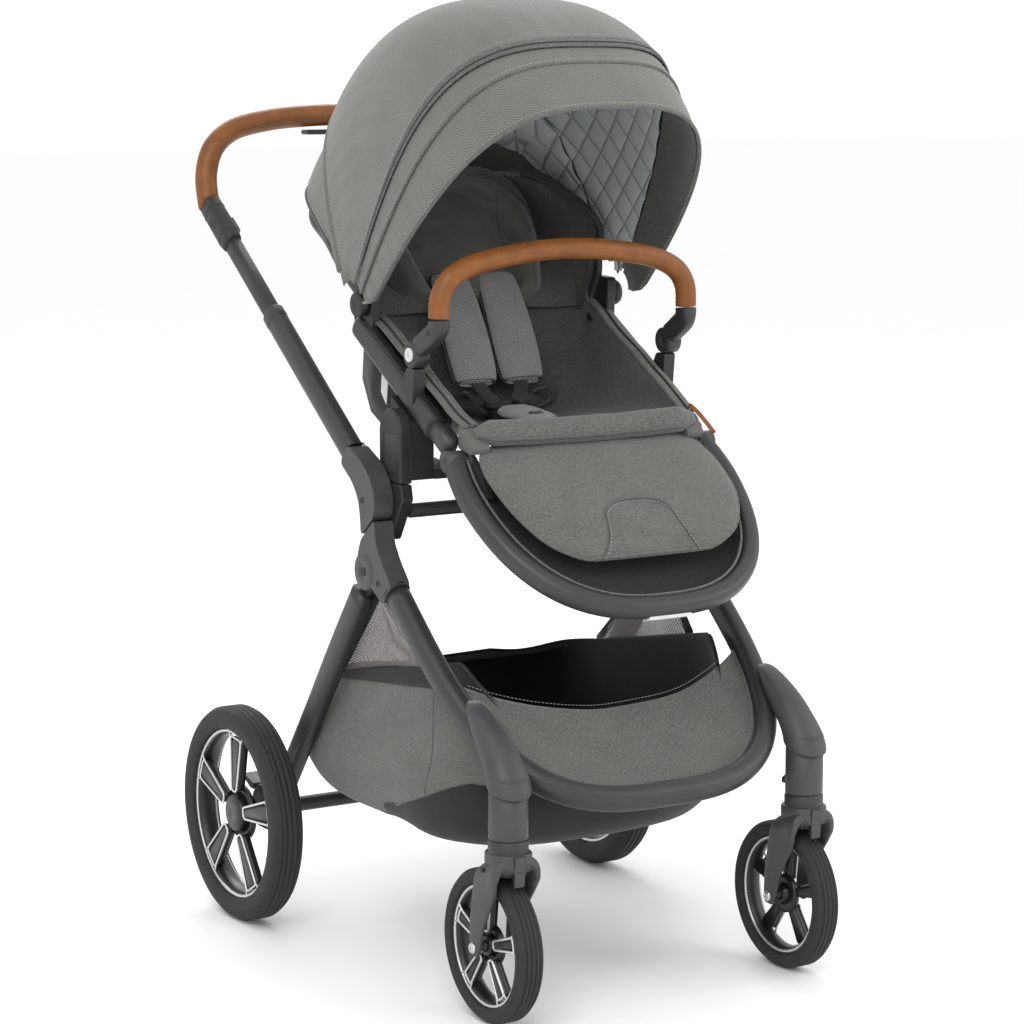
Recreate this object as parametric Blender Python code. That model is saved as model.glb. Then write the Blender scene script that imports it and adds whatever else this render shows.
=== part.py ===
"""Full-size baby stroller: wheeled folding chassis, reclining seat, canopy, bumper bar and footrest.

Frame: +Z up, -Y is the way the stroller faces, X is across. The origin is on the ground, in the
middle of the bounding box. The right side is -X, the left side is +X. All lengths are in metres.
"""
import math

import bmesh
import bpy
import numpy as np
from mathutils import Matrix, Vector

# ---------------------------------------------------------------- driving dimensions
SIDES = (("right", -1.0), ("left", 1.0))
GAP = 0.0004

REAR_AXLE = Vector((0.0, 0.2025, 0.1435))
REAR_WHEEL_RADIUS = 0.1435
REAR_TYRE_INNER = 0.1130
REAR_WHEEL_INNER_X = 0.2540
REAR_WHEEL_OUTER_X = 0.2985
FRONT_WHEEL_RADIUS = 0.0940
FRONT_TYRE_INNER = 0.0745
FRONT_WHEEL_HALF = 0.0180
CASTER_X = 0.2150
CASTER_Y = -0.3815
CASTER_SEAM_Z = 0.2320
CASTER_TRAIL = 0.0350

FRAME_X = 0.2222
FRAME_HALF = 0.0125
FOLD_AXIS = Vector((0.0, -0.1075, 0.5830))
REAR_LEG_AXIS = Vector((0.0, -0.0700, 0.5050))
TUBE_POINT = Vector((0.0, 0.0775, 0.7160))
TUBE_ANGLE = math.radians(35.8)
COLLAR_S = 0.153
BLOCK_START_S = 0.297
BUTTON_S = 0.3300
BLOCK_END_S = 0.380

LOOP_SLOPE = math.radians(40.0)
LOOP_START = Vector((0.0, -0.1375, 0.4780))
LOOP_RADIUS = 0.0162
FOOT_START = Vector((0.0, -0.1985, 0.6534))

RAIL_X = 0.1800
RAIL_SLOPE = math.radians(30.3)
RAIL_TOP = Vector((0.0, 0.0400, 0.8010))
RAIL_LENGTH = 0.2810
CANOPY_AXIS = Vector((0.0, 0.0225, 0.8290))
BUMPER_AXIS = Vector((0.0, -0.1160, 0.7770))
FOOT_AXIS = Vector((0.0, -0.1990, 0.6545))
CANOPY_N = 3.1
CANOPY_SKIN = 0.0030

COLOURS = {
    "frame": ((0.055, 0.056, 0.058), 0.45, 0.3),
    "plastic": ((0.020, 0.021, 0.022), 0.5, 0.0),
    "shell": ((0.070, 0.072, 0.074), 0.5, 0.0),
    "leather": ((0.27, 0.10, 0.03), 0.5, 0.0),
    "fabric": ((0.17, 0.17, 0.155), 0.9, 0.0),
    "herringbone": ((0.21, 0.21, 0.20), 0.9, 0.0),
    "insert": ((0.060, 0.060, 0.052), 0.85, 0.0),
    "rubber": ((0.018, 0.018, 0.019), 0.8, 0.0),
    "rim": ((0.03, 0.03, 0.032), 0.4, 0.0),
    "silver": ((0.60, 0.61, 0.62), 0.35, 0.8),
}


# ---------------------------------------------------------------- building tools
def clear_scene():
    """Remove every object, so the file holds only this model."""
    for old in list(bpy.data.objects):
        bpy.data.objects.remove(old, do_unlink=True)


def material(name):
    """Return the named Principled material, making it the first time."""
    if name in bpy.data.materials:
        return bpy.data.materials[name]
    colour, rough, metal = COLOURS[name]
    made = bpy.data.materials.new(name)
    made.use_nodes = True
    shader = made.node_tree.nodes["Principled BSDF"]
    shader.inputs["Base Color"].default_value = (*colour, 1.0)
    shader.inputs["Roughness"].default_value = rough
    shader.inputs["Metallic"].default_value = metal
    return made


def add_object(name, bm, pivot, look):
    """Turn a bmesh in world coordinates into an object whose origin is the pivot."""
    bmesh.ops.remove_doubles(bm, verts=bm.verts, dist=1e-6)
    bmesh.ops.recalc_face_normals(bm, faces=bm.faces)
    bmesh.ops.translate(bm, verts=bm.verts, vec=-Vector(pivot))
    mesh = bpy.data.meshes.new(name)
    bm.to_mesh(mesh)
    bm.free()
    mesh.shade_smooth()
    mesh.set_sharp_from_angle(angle=math.radians(40))
    mesh.materials.append(material(look))
    made = bpy.data.objects.new(name, mesh)
    made.location = pivot
    bpy.context.scene.collection.objects.link(made)
    return made


def skin_rings(bm, rings, closed=False):
    """Bridge equal rings of points into one closed solid; a closed run joins its last ring to its first."""
    made = [[bm.verts.new(p) for p in ring] for ring in rings]
    count = len(made[0])
    pairs = list(zip(made[:-1], made[1:]))
    if closed:
        pairs.append((made[-1], made[0]))
    else:
        bm.faces.new(made[0][::-1])
        bm.faces.new(made[-1])
    for low, high in pairs:
        for i in range(count):
            j = (i + 1) % count
            bm.faces.new((low[i], low[j], high[j], high[i]))


def union(target, *others):
    """Join the other objects into the target with an exact Boolean, and drop them."""
    combine(target, others, "UNION")


def cut(target, *others):
    """Cut the other objects out of the target with an exact Boolean, and drop them."""
    combine(target, others, "DIFFERENCE")


def combine(target, others, operation):
    """Apply one Boolean for each of the other objects."""
    for other in others:
        boolean = target.modifiers.new(operation, "BOOLEAN")
        boolean.operation = operation
        boolean.solver = "EXACT"
        boolean.object = other
        apply_modifiers(target)
        bpy.data.objects.remove(other, do_unlink=True)


def apply_modifiers(target):
    """Replace the object's mesh with its evaluated one, and clear the modifiers."""
    bpy.context.view_layer.update()
    graph = bpy.context.evaluated_depsgraph_get()
    mesh = bpy.data.meshes.new_from_object(target.evaluated_get(graph))
    target.modifiers.clear()
    target.data = mesh


def soften(target, width, segments=1, angle=40):
    """Round the sharp edges."""
    bevel = target.modifiers.new("soften", "BEVEL")
    bevel.width = width
    bevel.segments = segments
    bevel.limit_method = "ANGLE"
    bevel.angle_limit = math.radians(angle)
    return target


def prism(name, outline, x_low, x_high, look, pivot=(0, 0, 0), side=1.0):
    """Extrude a (y, z) outline along X, between two distances from the middle plane."""
    bm = bmesh.new()
    skin_rings(bm, [[(side * x, y, z) for y, z in outline] for x in (x_low, x_high)])
    return add_object(name, bm, pivot, look)


def lathe(name, profile, centre, look, steps, side=1.0, phase=0.5):
    """Turn a closed (x, radius) profile about the X axis through the centre."""
    bm = bmesh.new()
    rings = []
    for k in range(steps):
        turn = 2 * math.pi * (k + phase) / steps
        up, out = math.cos(turn), math.sin(turn)
        rings.append([(centre[0] + side * x, centre[1] + r * out, centre[2] - r * up) for x, r in profile])
    skin_rings(bm, rings, closed=True)
    return add_object(name, bm, centre, look)


def cylinder(name, start, end, radius, look, sides=16, end_radius=None):
    """A round bar from start to end."""
    start, end = Vector(start), Vector(end)
    along = (end - start).normalized()
    across = along.orthogonal().normalized()
    other = along.cross(across)
    rings = []
    for place, r in ((start, radius), (end, end_radius or radius)):
        turns = [2 * math.pi * (k + 0.5) / sides for k in range(sides)]
        rings.append([place + across * r * math.cos(t) + other * r * math.sin(t) for t in turns])
    bm = bmesh.new()
    skin_rings(bm, rings)
    return add_object(name, bm, start, look)


def rounded_section(half_a, half_b, power=2.6, count=14):
    """Points of a rounded oblong, as (a, b) pairs."""
    points = []
    for k in range(count):
        turn = 2 * math.pi * (k + 0.5) / count
        c, s = math.cos(turn), math.sin(turn)
        points.append((half_a * math.copysign(abs(c) ** (2 / power), c),
                       half_b * math.copysign(abs(s) ** (2 / power), s)))
    return points


def sweep(name, path, section, normal, look, pivot=(0, 0, 0), scales=None):
    """Carry a section along a path. Its first axis is the given normal, its second lies across the path."""
    path = [Vector(p) for p in path]
    normal = Vector(normal)
    rings = []
    for i, place in enumerate(path):
        before = path[max(i - 1, 0)]
        after = path[min(i + 1, len(path) - 1)]
        along = (after - before).normalized()
        flat = (normal - along * normal.dot(along)).normalized()
        across = along.cross(flat)
        scale = scales[i] if scales else 1.0
        rings.append([place + (flat * a + across * b) * scale for a, b in section])
    bm = bmesh.new()
    skin_rings(bm, rings)
    return add_object(name, bm, pivot, look)


def smooth_path(points, per_span=4):
    """Points along a Catmull-Rom curve through the given points."""
    pts = [Vector(p) for p in points]
    ends = [pts[0] * 2 - pts[1]] + pts + [pts[-1] * 2 - pts[-2]]
    out = []
    for i in range(1, len(ends) - 2):
        a, b, c, d = ends[i - 1:i + 3]
        for k in range(per_span):
            t = k / per_span
            out.append(0.5 * (2 * b + (c - a) * t + (2 * a - 5 * b + 4 * c - d) * t ** 2
                              + (3 * b - a - 3 * c + d) * t ** 3))
    out.append(pts[-1])
    return out


def mirrored_path(half):
    """A half path that ends on the middle plane, followed by its mirror image."""
    half = [Vector(p) for p in half]
    return half + [Vector((-p.x, p.y, p.z)) for p in reversed(half[:-1])]


def tube_point(s, x=0.0, lift=0.0):
    """A point s along the handle tube's line, lifted square to it."""
    c, n = math.cos(TUBE_ANGLE), math.sin(TUBE_ANGLE)
    return Vector((x, TUBE_POINT.y + s * c - lift * n, TUBE_POINT.z + s * n + lift * c))


def loop_half(start, half_width, straight, reach, steps=9, power=3.0, pinch=0.0):
    """Half of a U-shaped loop in the 40 degree plane, from its open end to the middle of the front."""
    slope_y, slope_z = math.cos(LOOP_SLOPE), math.sin(LOOP_SLOPE)
    points = [Vector((half_width - pinch, start.y, start.z))]
    for k in range(steps + 1):
        turn = 0.5 * math.pi * k / steps
        s = straight + reach * math.sin(turn) ** (2 / power)
        x = half_width * math.cos(turn) ** (2 / power) - pinch * max(0.0, 1.0 - s / 0.07) ** 2
        points.append(Vector((x, start.y - s * slope_y, start.z - s * slope_z)))
    return points


# ---------------------------------------------------------------- chassis
def loop_path():
    """The centre line of the front leg tube, from one leg crown round the front to the other."""
    half = loop_half(LOOP_START, 0.2220, 0.05, 0.276, steps=10)
    return mirrored_path([half[0] + Vector((0, 0.0060, 0.0050))] + half[1:])


def build_loop_tube(name, grow=0.0):
    """The front leg tube itself, or a slightly larger copy to cut its neighbours with."""
    section = rounded_section(LOOP_RADIUS - 0.0020 + grow, LOOP_RADIUS + grow, 2.4, 12)
    normal = (0, -math.sin(LOOP_SLOPE), math.cos(LOOP_SLOPE))
    return sweep(name, loop_path(), section, normal, "frame")


def build_leg_crown(tag, side):
    """The forked casting below the folding hub. Its outer cheek covers the rear leg's pivot disc."""
    outline = [(-0.0975, 0.5740), (-0.0620, 0.5445), (-0.0540, 0.5250), (-0.0880, 0.4880), (-0.1180, 0.4700),
               (-0.1405, 0.4965), (-0.1160, 0.5230), (-0.1010, 0.5450)]
    body = prism(f"leg_crown_{tag}", outline, 0.2095, 0.2372, "shell", side=side)
    centre_y, centre_z = REAR_LEG_AXIS.y, REAR_LEG_AXIS.z
    pocket = cylinder("pocket", (side * 0.2000, centre_y, centre_z), (side * 0.2236, centre_y, centre_z),
                      0.0275, "shell", 28)
    cut(body, pocket)
    cheek = cylinder("cheek", (side * 0.2238, centre_y, centre_z), (side * 0.2372, centre_y, centre_z),
                     0.0240, "shell", 28)
    union(body, cheek)
    return body


def build_caster_housing(tag, side):
    """The upright socket of the front caster, with its hood running up onto the front leg tube."""
    rings = []
    for x, y, z, rx, ry in ((CASTER_X, CASTER_Y, CASTER_SEAM_Z + GAP, 0.0235, 0.0235),
                            (CASTER_X, CASTER_Y, 0.2960, 0.0235, 0.0235),
                            (0.2150, -0.3560, 0.3280, 0.0210, 0.0300),
                            (0.2140, -0.3250, 0.3560, 0.0160, 0.0250),
                            (0.2130, -0.3050, 0.3700, 0.0100, 0.0130)):
        turns = [2 * math.pi * (k + 0.5) / 16 for k in range(16)]
        rings.append([(side * (x + rx * math.cos(t)), y + ry * math.sin(t), z) for t in turns])
    bm = bmesh.new()
    skin_rings(bm, rings)
    body = add_object(f"caster_housing_{tag}", bm, (0, 0, 0), "shell")
    cut(body, build_loop_tube("cutter", 0.0004))
    return body


def build_swivel_lock(tag, side):
    """The small tab behind each caster that is pushed down to stop it swivelling."""
    x, y, z = side * CASTER_X, CASTER_Y + 0.0285, 0.2440
    outline = [(y - 0.0045, z - 0.006), (y + 0.0085, z - 0.006), (y + 0.0085, z), (y - 0.0045, z + 0.010)]
    bm = bmesh.new()
    skin_rings(bm, [[(x + dx, py, pz) for py, pz in outline] for dx in (-0.007, 0.007)])
    return add_object(f"swivel_lock_{tag}", bm, (x, y, z), "plastic")


def build_cross_bar():
    """The bar on the folding axis, which joins both sides under the seat."""
    reach = 0.1926
    return cylinder("cross_bar", (-reach, FOLD_AXIS.y, FOLD_AXIS.z), (reach, FOLD_AXIS.y, FOLD_AXIS.z), 0.0090,
                    "plastic", 16)


def build_seat_socket(tag, side):
    """The socket inside each leg crown that the seat's adapter stands on."""
    outline = [(-0.1200, 0.5980), (-0.1160, 0.6164), (-0.0580, 0.6164), (-0.0600, 0.5620), (-0.0700, 0.5450),
               (-0.0880, 0.5450)]
    body = prism(f"seat_socket_{tag}", outline, 0.1930, 0.2090, "plastic", side=side)
    return soften(body, 0.0015)


def plan_ring(half_width, y_middle, front, rear, height, count=40):
    """A closed plan outline, squarer at the rear, whose height is a function of y."""
    ring = []
    for k in range(count):
        turn = 2 * math.pi * (k + 0.5) / count
        c, s = math.cos(turn), math.sin(turn)
        reach = rear if s > 0 else front
        power = 7.0 if s > 0 else 3.2
        x = half_width * math.copysign(abs(c) ** (2 / power), c)
        y = y_middle + reach * math.copysign(abs(s) ** (2 / power), s)
        ring.append((x, y, height(y)))
    return ring


def basket_rim(y):
    """The height of the basket's upper edge: in the front tube's plane at the front, then falling to the rear."""
    front = 0.3560 + (y + 0.2775) * math.tan(LOOP_SLOPE)
    return min(front, 0.4060 - (y + 0.2050) * 0.200)


def basket_rings(inset):
    """The basket's plan outlines from the floor to the rim, drawn in by the cloth's thickness."""
    levels = ((0.176, 0.190, 0.160, lambda y: 0.1665), (0.191, 0.232, 0.225, lambda y: 0.1800),
              (0.195, 0.250, 0.270, lambda y: 0.2150), (0.195, 0.260, 0.268, lambda y: 0.2600),
              (0.195, 0.236, 0.240, basket_rim))
    return [plan_ring(w - inset, -0.0950, f - inset, r - inset, (lambda y, h=h: h(y))) for w, f, r, h in levels]


def build_basket():
    """The cloth storage basket, open at the top."""
    thick = 0.0040
    outer = basket_rings(0.0)
    inner = basket_rings(thick)
    inner[0] = [(x, y, z + thick) for x, y, z in inner[0]]
    bm = bmesh.new()
    skin_rings(bm, outer + inner[::-1])
    return add_object("basket", bm, (0, 0, 0), "fabric")


# ---------------------------------------------------------------- rear legs
def build_rear_leg(tag, side):
    """One rear leg: pivot disc, tapered tube, brake housing and the stub that the wheel runs on."""
    top, foot = Vector((0, -0.0430, 0.4740)), Vector((0, REAR_AXLE.y - 0.010, REAR_AXLE.z + 0.018))
    rings = []
    along = (foot - top).normalized()
    across = Vector((0, -along.z, along.y))
    for t, wide in ((0.0, 0.0155), (0.10, 0.0170), (0.45, 0.0150), (1.0, 0.0135)):
        middle = top + (foot - top) * t + Vector((side * 0.2232, 0, 0))
        rings.append([middle + Vector((a, 0, 0)) + across * b for a, b in rounded_section(0.0128, wide, 3.0, 12)])
    bm = bmesh.new()
    skin_rings(bm, rings)
    body = add_object(f"rear_leg_{tag}", bm, REAR_LEG_AXIS, "frame")
    disc = cylinder("disc", (side * 0.2104, REAR_LEG_AXIS.y, REAR_LEG_AXIS.z),
                    (side * 0.2232, REAR_LEG_AXIS.y, REAR_LEG_AXIS.z), 0.0262, "frame", 28)
    neck = prism("neck", [(-0.0620, 0.4880), (-0.0440, 0.5020), (-0.0280, 0.4780), (-0.0460, 0.4640)], 0.2104,
                 0.2232, "frame", side=side)
    housing = prism("housing", [(0.1740, 0.1330), (0.1860, 0.1180), (0.2190, 0.1180), (0.2310, 0.1330),
                                (0.2310, 0.1600), (0.2160, 0.1760), (0.1860, 0.1760), (0.1740, 0.1600)],
                    0.2100, 0.2480, "plastic", side=side)
    stub = cylinder("stub", (side * 0.2470, REAR_AXLE.y, REAR_AXLE.z), (side * 0.2930, REAR_AXLE.y, REAR_AXLE.z),
                    0.0060, "silver", 14)
    union(body, disc, neck, housing, stub)
    return body


def build_rear_axle():
    """The tube between the two brake housings."""
    reach = 0.2096
    return cylinder("rear_axle", (-reach, REAR_AXLE.y, REAR_AXLE.z), (reach, REAR_AXLE.y, REAR_AXLE.z), 0.0100,
                    "plastic", 16)


def build_brake_pedal():
    """The foot pedal behind the right brake housing."""
    outline = [(0.2320, 0.1640), (0.2420, 0.1640), (0.2660, 0.1760), (0.2660, 0.1800), (0.2400, 0.1740),
               (0.2320, 0.1720)]
    body = prism("brake_pedal", outline, 0.2130, 0.2450, "shell", Vector((-0.229, 0.2320, 0.1680)), side=-1.0)
    return soften(body, 0.0010)


def tyre_profile(low, high, radius, inner):
    """A rubber tyre's section, as (x, radius) pairs, with a flat tread and round shoulders."""
    mid, half = (low + high) / 2, (high - low) / 2
    tread = radius / math.cos(math.pi / 40)
    return [(mid - half * 0.55, inner), (mid - half * 0.93, inner + (radius - inner) * 0.30),
            (mid - half, inner + (radius - inner) * 0.55), (mid - half * 0.86, radius - 0.0050),
            (mid - half * 0.50, tread), (mid + half * 0.50, tread), (mid + half * 0.86, radius - 0.0050),
            (mid + half, inner + (radius - inner) * 0.55), (mid + half * 0.93, inner + (radius - inner) * 0.30),
            (mid + half * 0.55, inner)]


def build_wheel(prefix, tag, side, centre, half, radius, inner, hub):
    """A tyre on a spoked rim. The centre is the middle of the wheel."""
    lathe(f"{prefix}_tyre_{tag}", tyre_profile(-half, half, radius, inner), centre, "rubber", 40)
    rim_half = half * 0.54
    ring = [(-rim_half, inner - GAP), (-rim_half, inner - 0.0130), (rim_half * 0.9, inner - 0.0100),
            (rim_half, inner - GAP)]
    body = lathe(f"{prefix}_rim_{tag}", ring, centre, "rim", 40)
    boss = lathe("boss", [(-half * 0.85, 0.0066), (-half * 0.85, hub), (half * 0.75, hub), (half * 0.75, 0.0066)],
                 centre, "rim", 20)
    union(body, boss)
    for k in range(5):
        spoke = build_spoke(centre, half, hub - 0.003, inner - 0.006, 2 * math.pi * k / 5)
        union(body, spoke)
    return body


def build_spoke(centre, half, start, end, turn):
    """One flat spoke, wider at its ends."""
    bm = bmesh.new()
    out = Vector((0, math.sin(turn), math.cos(turn)))
    across = Vector((0, math.cos(turn), -math.sin(turn)))
    rings = []
    for r, wide in ((start, 0.30 * start + 0.004), ((start + end) / 2, 0.085 * end), (end, 0.16 * end)):
        corners = ((-half * 0.35, -wide), (half * 0.35, -wide), (half * 0.35, wide), (-half * 0.35, wide))
        rings.append([centre + out * r + across * b + Vector((a, 0, 0)) for a, b in corners])
    skin_rings(bm, rings)
    return add_object("spoke", bm, centre, "rim")


def build_fork(tag, side):
    """The front caster fork, with an arm on each side of the wheel and the axle between them."""
    x = side * CASTER_X
    axle = Vector((x, CASTER_Y + CASTER_TRAIL, FRONT_WHEEL_RADIUS))
    pivot = Vector((x, CASTER_Y, CASTER_SEAM_Z))
    rings = []
    for z, rx, ry, dy in ((CASTER_SEAM_Z - GAP, 0.0240, 0.0240, 0.0), (0.2150, 0.0255, 0.0250, 0.001),
                          (0.1930, 0.0280, 0.0230, 0.006)):
        rings.append([(x + a, CASTER_Y + dy + b, z) for a, b in rounded_section(rx, ry, 2.4, 16)])
    bm = bmesh.new()
    skin_rings(bm, rings)
    body = add_object(f"front_fork_{tag}", bm, pivot, "shell")
    arm = [(CASTER_Y - 0.014, 0.2060), (CASTER_Y - 0.012, 0.1700), (axle.y - 0.014, 0.1060),
           (axle.y - 0.010, 0.0850), (axle.y, 0.0800), (axle.y + 0.010, 0.0850), (axle.y + 0.012, 0.1000),
           (CASTER_Y + 0.036, 0.1700), (CASTER_Y + 0.026, 0.2060)]
    for low in (-0.0282, 0.0212):
        bm = bmesh.new()
        skin_rings(bm, [[(x + low + dx, y, z) for y, z in arm] for dx in (0.0, 0.0070)])
        union(body, add_object("arm", bm, pivot, "shell"))
    union(body, cylinder("axle", axle - Vector((0.0320, 0, 0)), axle + Vector((0.0320, 0, 0)), 0.0060, "silver", 14))
    return body


# ---------------------------------------------------------------- folding handle
def build_hub(tag, side):
    """The upper half of the folding hub, bent from the neck into the handle tube's line."""
    low_tube = tube_point(-0.118, 0.0, -0.0150)
    high_tube = tube_point(-0.118, 0.0, 0.0155)
    outline = [(-0.0975, 0.5775), (-0.0625, 0.5480), (-0.0610, 0.5720), (-0.0560, 0.5950), (-0.0400, 0.6150),
               (low_tube.y, low_tube.z), (high_tube.y, high_tube.z), (-0.0700, 0.6400), (-0.0900, 0.6210),
               (-0.0990, 0.6000)]
    body = prism(f"hub_{tag}", outline, 0.2095, 0.2362, "shell", FOLD_AXIS, side)
    return soften(body, 0.0040, 2, 60)


def build_outer_tube(tag, side):
    """The outer handle tube: closed at the hub, hollow towards its collar."""
    x = side * FRAME_X
    section = rounded_section(FRAME_HALF, 0.0155, 3.0, 14)
    body = sweep(f"outer_tube_{tag}", [tube_point(s, x) for s in (-0.1172, COLLAR_S)], section, (1, 0, 0), "frame",
                 FOLD_AXIS)
    bore = sweep("bore", [tube_point(s, x) for s in (-0.1050, COLLAR_S + 0.01)],
                 rounded_section(FRAME_HALF - 0.0025, 0.0130, 3.0, 14), (1, 0, 0), "frame")
    cut(body, bore)
    return body


def build_inner_tube(tag, side):
    """The sliding handle tube inside the outer one."""
    x = side * FRAME_X
    section = rounded_section(FRAME_HALF - 0.0029, 0.0126, 3.0, 14)
    return sweep(f"inner_tube_{tag}", [tube_point(s, x) for s in (0.0200, BLOCK_START_S - GAP)], section, (1, 0, 0),
                 "plastic")


def build_handle_block(tag, side):
    """The plastic joint between the sliding tube and the grip."""
    x = side * FRAME_X
    section = rounded_section(0.0127, 0.0160, 3.4, 14)
    places = (BLOCK_START_S, BLOCK_START_S + 0.008, BLOCK_END_S)
    body = sweep(f"handle_joint_{tag}", [tube_point(s, x) for s in places], section, (1, 0, 0), "plastic",
                 scales=[0.92, 1.0, 0.97])
    bm = bmesh.new()
    corners = [(-0.0145, -0.0085), (0.0145, -0.0085), (0.0145, 0.0085), (-0.0145, 0.0085)]
    skin_rings(bm, [[tube_point(BUTTON_S + a, side * reach, b) for a, b in corners] for reach in (0.2070, 0.2120)])
    cut(body, add_object("pocket", bm, (0, 0, 0), "plastic"))
    return body


def build_height_button(tag, side):
    """The squeeze button on the inner face of each handle joint, which frees the sliding tube."""
    pivot = tube_point(BUTTON_S, side * 0.2090)
    bm = bmesh.new()
    rings = []
    for depth, scale in ((0.0, 1.0), (0.0035, 1.0), (0.0055, 0.75)):
        corners = [(-0.014, -0.008), (0.014, -0.008), (0.014, 0.008), (-0.014, 0.008)]
        rings.append([tube_point(BUTTON_S + a * scale, side * (0.2090 - depth), b * scale) for a, b in corners])
    skin_rings(bm, rings)
    return add_object(f"height_button_{tag}", bm, pivot, "plastic")


def grip_half(side=-1.0):
    """Half of the grip's centre line, from the joint up to the middle of the bar."""
    start = tube_point(BLOCK_END_S + 0.0020, side * FRAME_X)
    lean = tube_point(BLOCK_END_S + 0.0080, side * FRAME_X)
    points = [lean, (side * 0.2190, 0.4045, 0.9790), (side * 0.2040, 0.4120, 1.0150),
              (side * 0.1700, 0.4190, 1.0390), (side * 0.1150, 0.4240, 1.0510), (side * 0.0550, 0.4255, 1.0560),
              (0.0, 0.4255, 1.0575)]
    return [start] + smooth_path(points, 3)


def build_handle_grip():
    """The leather-covered grip bar."""
    path = mirrored_path(grip_half())
    return sweep("handle_grip", path, rounded_section(0.0148, 0.0148, 2.0, 12), (0, 0.97, -0.24), "leather")


def build_fold_trigger():
    """The squeeze trigger under the middle of the grip, which releases the fold."""
    pivot = Vector((0.0, 0.4225, 1.0370))
    outline = [(0.4120, 1.0305), (0.4330, 1.0305), (0.4330, 1.0372), (0.4120, 1.0372)]
    bm = bmesh.new()
    skin_rings(bm, [[(x, y, z) for y, z in outline] for x in (-0.0600, 0.0600)])
    return soften(add_object("fold_trigger", bm, pivot, "plastic"), 0.0015)


# ---------------------------------------------------------------- seat
def rail_point(s, x=0.0, lift=0.0):
    """A point s down the seat rail from its top, lifted square to it."""
    c, n = math.cos(RAIL_SLOPE), math.sin(RAIL_SLOPE)
    return Vector((x, RAIL_TOP.y - s * c - lift * n, RAIL_TOP.z - s * n + lift * c))


def build_seat_rail(tag, side):
    """The side rail of the seat, with the plate that holds the footrest's hinge."""
    places = (0.0, 0.2200, 0.2210, RAIL_LENGTH - 0.0170)
    body = sweep(f"seat_rail_{tag}", [rail_point(s, side * RAIL_X) for s in places],
                 rounded_section(0.0110, 0.0150, 3.0, 12), (1, 0, 0), "frame", scales=[1.0, 1.0, 0.82, 0.82])
    plate = prism("plate", [tuple(rail_point(s, 0.0, b))[1:] for s, b in (
        (0.2200, -0.010), (RAIL_LENGTH + 0.004, -0.012), (RAIL_LENGTH + 0.010, -0.004),
        (RAIL_LENGTH + 0.004, 0.008), (0.2200, 0.010))], 0.1590, 0.1672, "plastic", side=side)
    bridge = prism("bridge", [tuple(rail_point(s, 0.0, b))[1:] for s, b in (
        (0.2250, -0.008), (0.2550, -0.008), (0.2550, 0.008), (0.2250, 0.008))], 0.1665, 0.1780, "plastic", side=side)
    post = prism("post", [(-0.1240, BUMPER_AXIS.z - 0.0158), (-0.1080, BUMPER_AXIS.z - 0.0158), (-0.0980, 0.7280),
                          (-0.1180, 0.7150)], 0.1770, 0.1900, "plastic", side=side)
    union(body, bridge, plate, post)
    return body


def build_seat_adapter(tag, side):
    """The capsule and block under each rail, which stand in the chassis socket."""
    middle, low, high, half = -0.0870, 0.6170, 0.7090, 0.0270
    capsule = [(middle - half, low), (middle + half, low)]
    arch = [math.pi * k / 8 for k in range(9)]
    capsule += [(middle + half * math.cos(t), high - half + half * math.sin(t)) for t in arch]
    body = prism(f"seat_adapter_{tag}", capsule, 0.1915, 0.2086, "plastic", side=side)
    soften(body, 0.0025, 2)
    apply_modifiers(body)
    block = prism("block", [(-0.1120, 0.6210), (-0.0620, 0.6210), (-0.0620, 0.7215), (-0.1120, 0.6925)], 0.1600,
                  0.1925, "plastic", side=side)
    inner = prism("inner", [(-0.1150, 0.6210), (-0.0620, 0.6210), (-0.0620, 0.6400), (-0.1150, 0.6330)], 0.1300,
                  0.1610, "plastic", side=side)
    union(body, block, inner)
    pocket = prism("pocket", [(middle - 0.0150, 0.6300), (middle + 0.0150, 0.6300), (middle + 0.0150, 0.6780),
                              (middle - 0.0150, 0.6780)], 0.2020, 0.2100, "plastic", side=side)
    cut(body, pocket)
    return body


def build_adapter_button(tag, side):
    """The release button let into the outer face of each adapter."""
    middle = -0.0870
    outline = [(middle - 0.0145, 0.6305), (middle + 0.0145, 0.6305), (middle + 0.0145, 0.6775),
               (middle - 0.0145, 0.6775)]
    return prism(f"adapter_button_{tag}", outline, 0.2045, 0.2080, "plastic",
                 Vector((side * 0.2080, middle, 0.6540)), side)


def build_seat_tub():
    """The cloth seat: floor, sides and lower back in one open tub."""
    outer = [(-0.2140, 0.6900), (-0.2120, 0.6640), (-0.1600, 0.6460), (-0.0300, 0.6480), (0.0300, 0.6600),
             (0.0560, 0.7050), (0.0680, 0.7600), (0.0720, 0.8000), (0.0400, 0.8090), (0.0000, 0.8010),
             (-0.1700, 0.7020)]
    inner = [(-0.2400, 0.7100), (-0.2000, 0.6960), (-0.0600, 0.6700), (0.0100, 0.6720), (0.0430, 0.7150),
             (0.0560, 0.7600), (0.0620, 0.8600), (-0.2400, 0.8600)]
    body = prism("seat_tub", outer, -0.1560, 0.1560, "fabric")
    hollow = prism("hollow", inner, -0.1460, 0.1460, "fabric")
    cut(body, hollow)
    return body


def build_buckle():
    """The harness buckle on the seat floor."""
    bm = bmesh.new()
    rings = []
    for z, scale in ((0.6760, 0.90), (0.6790, 1.0), (0.6880, 1.0), (0.6910, 0.85)):
        rings.append([(a * scale, -0.0300 + b * scale, z) for a, b in rounded_section(0.0300, 0.0260, 2.4, 16)])
    skin_rings(bm, rings)
    body = add_object("buckle", bm, (0, 0, 0), "plastic")
    cut(body, cylinder("pocket", (0, -0.0300, 0.6880), (0, -0.0300, 0.7000), 0.0114, "plastic", 16))
    return body


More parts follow.
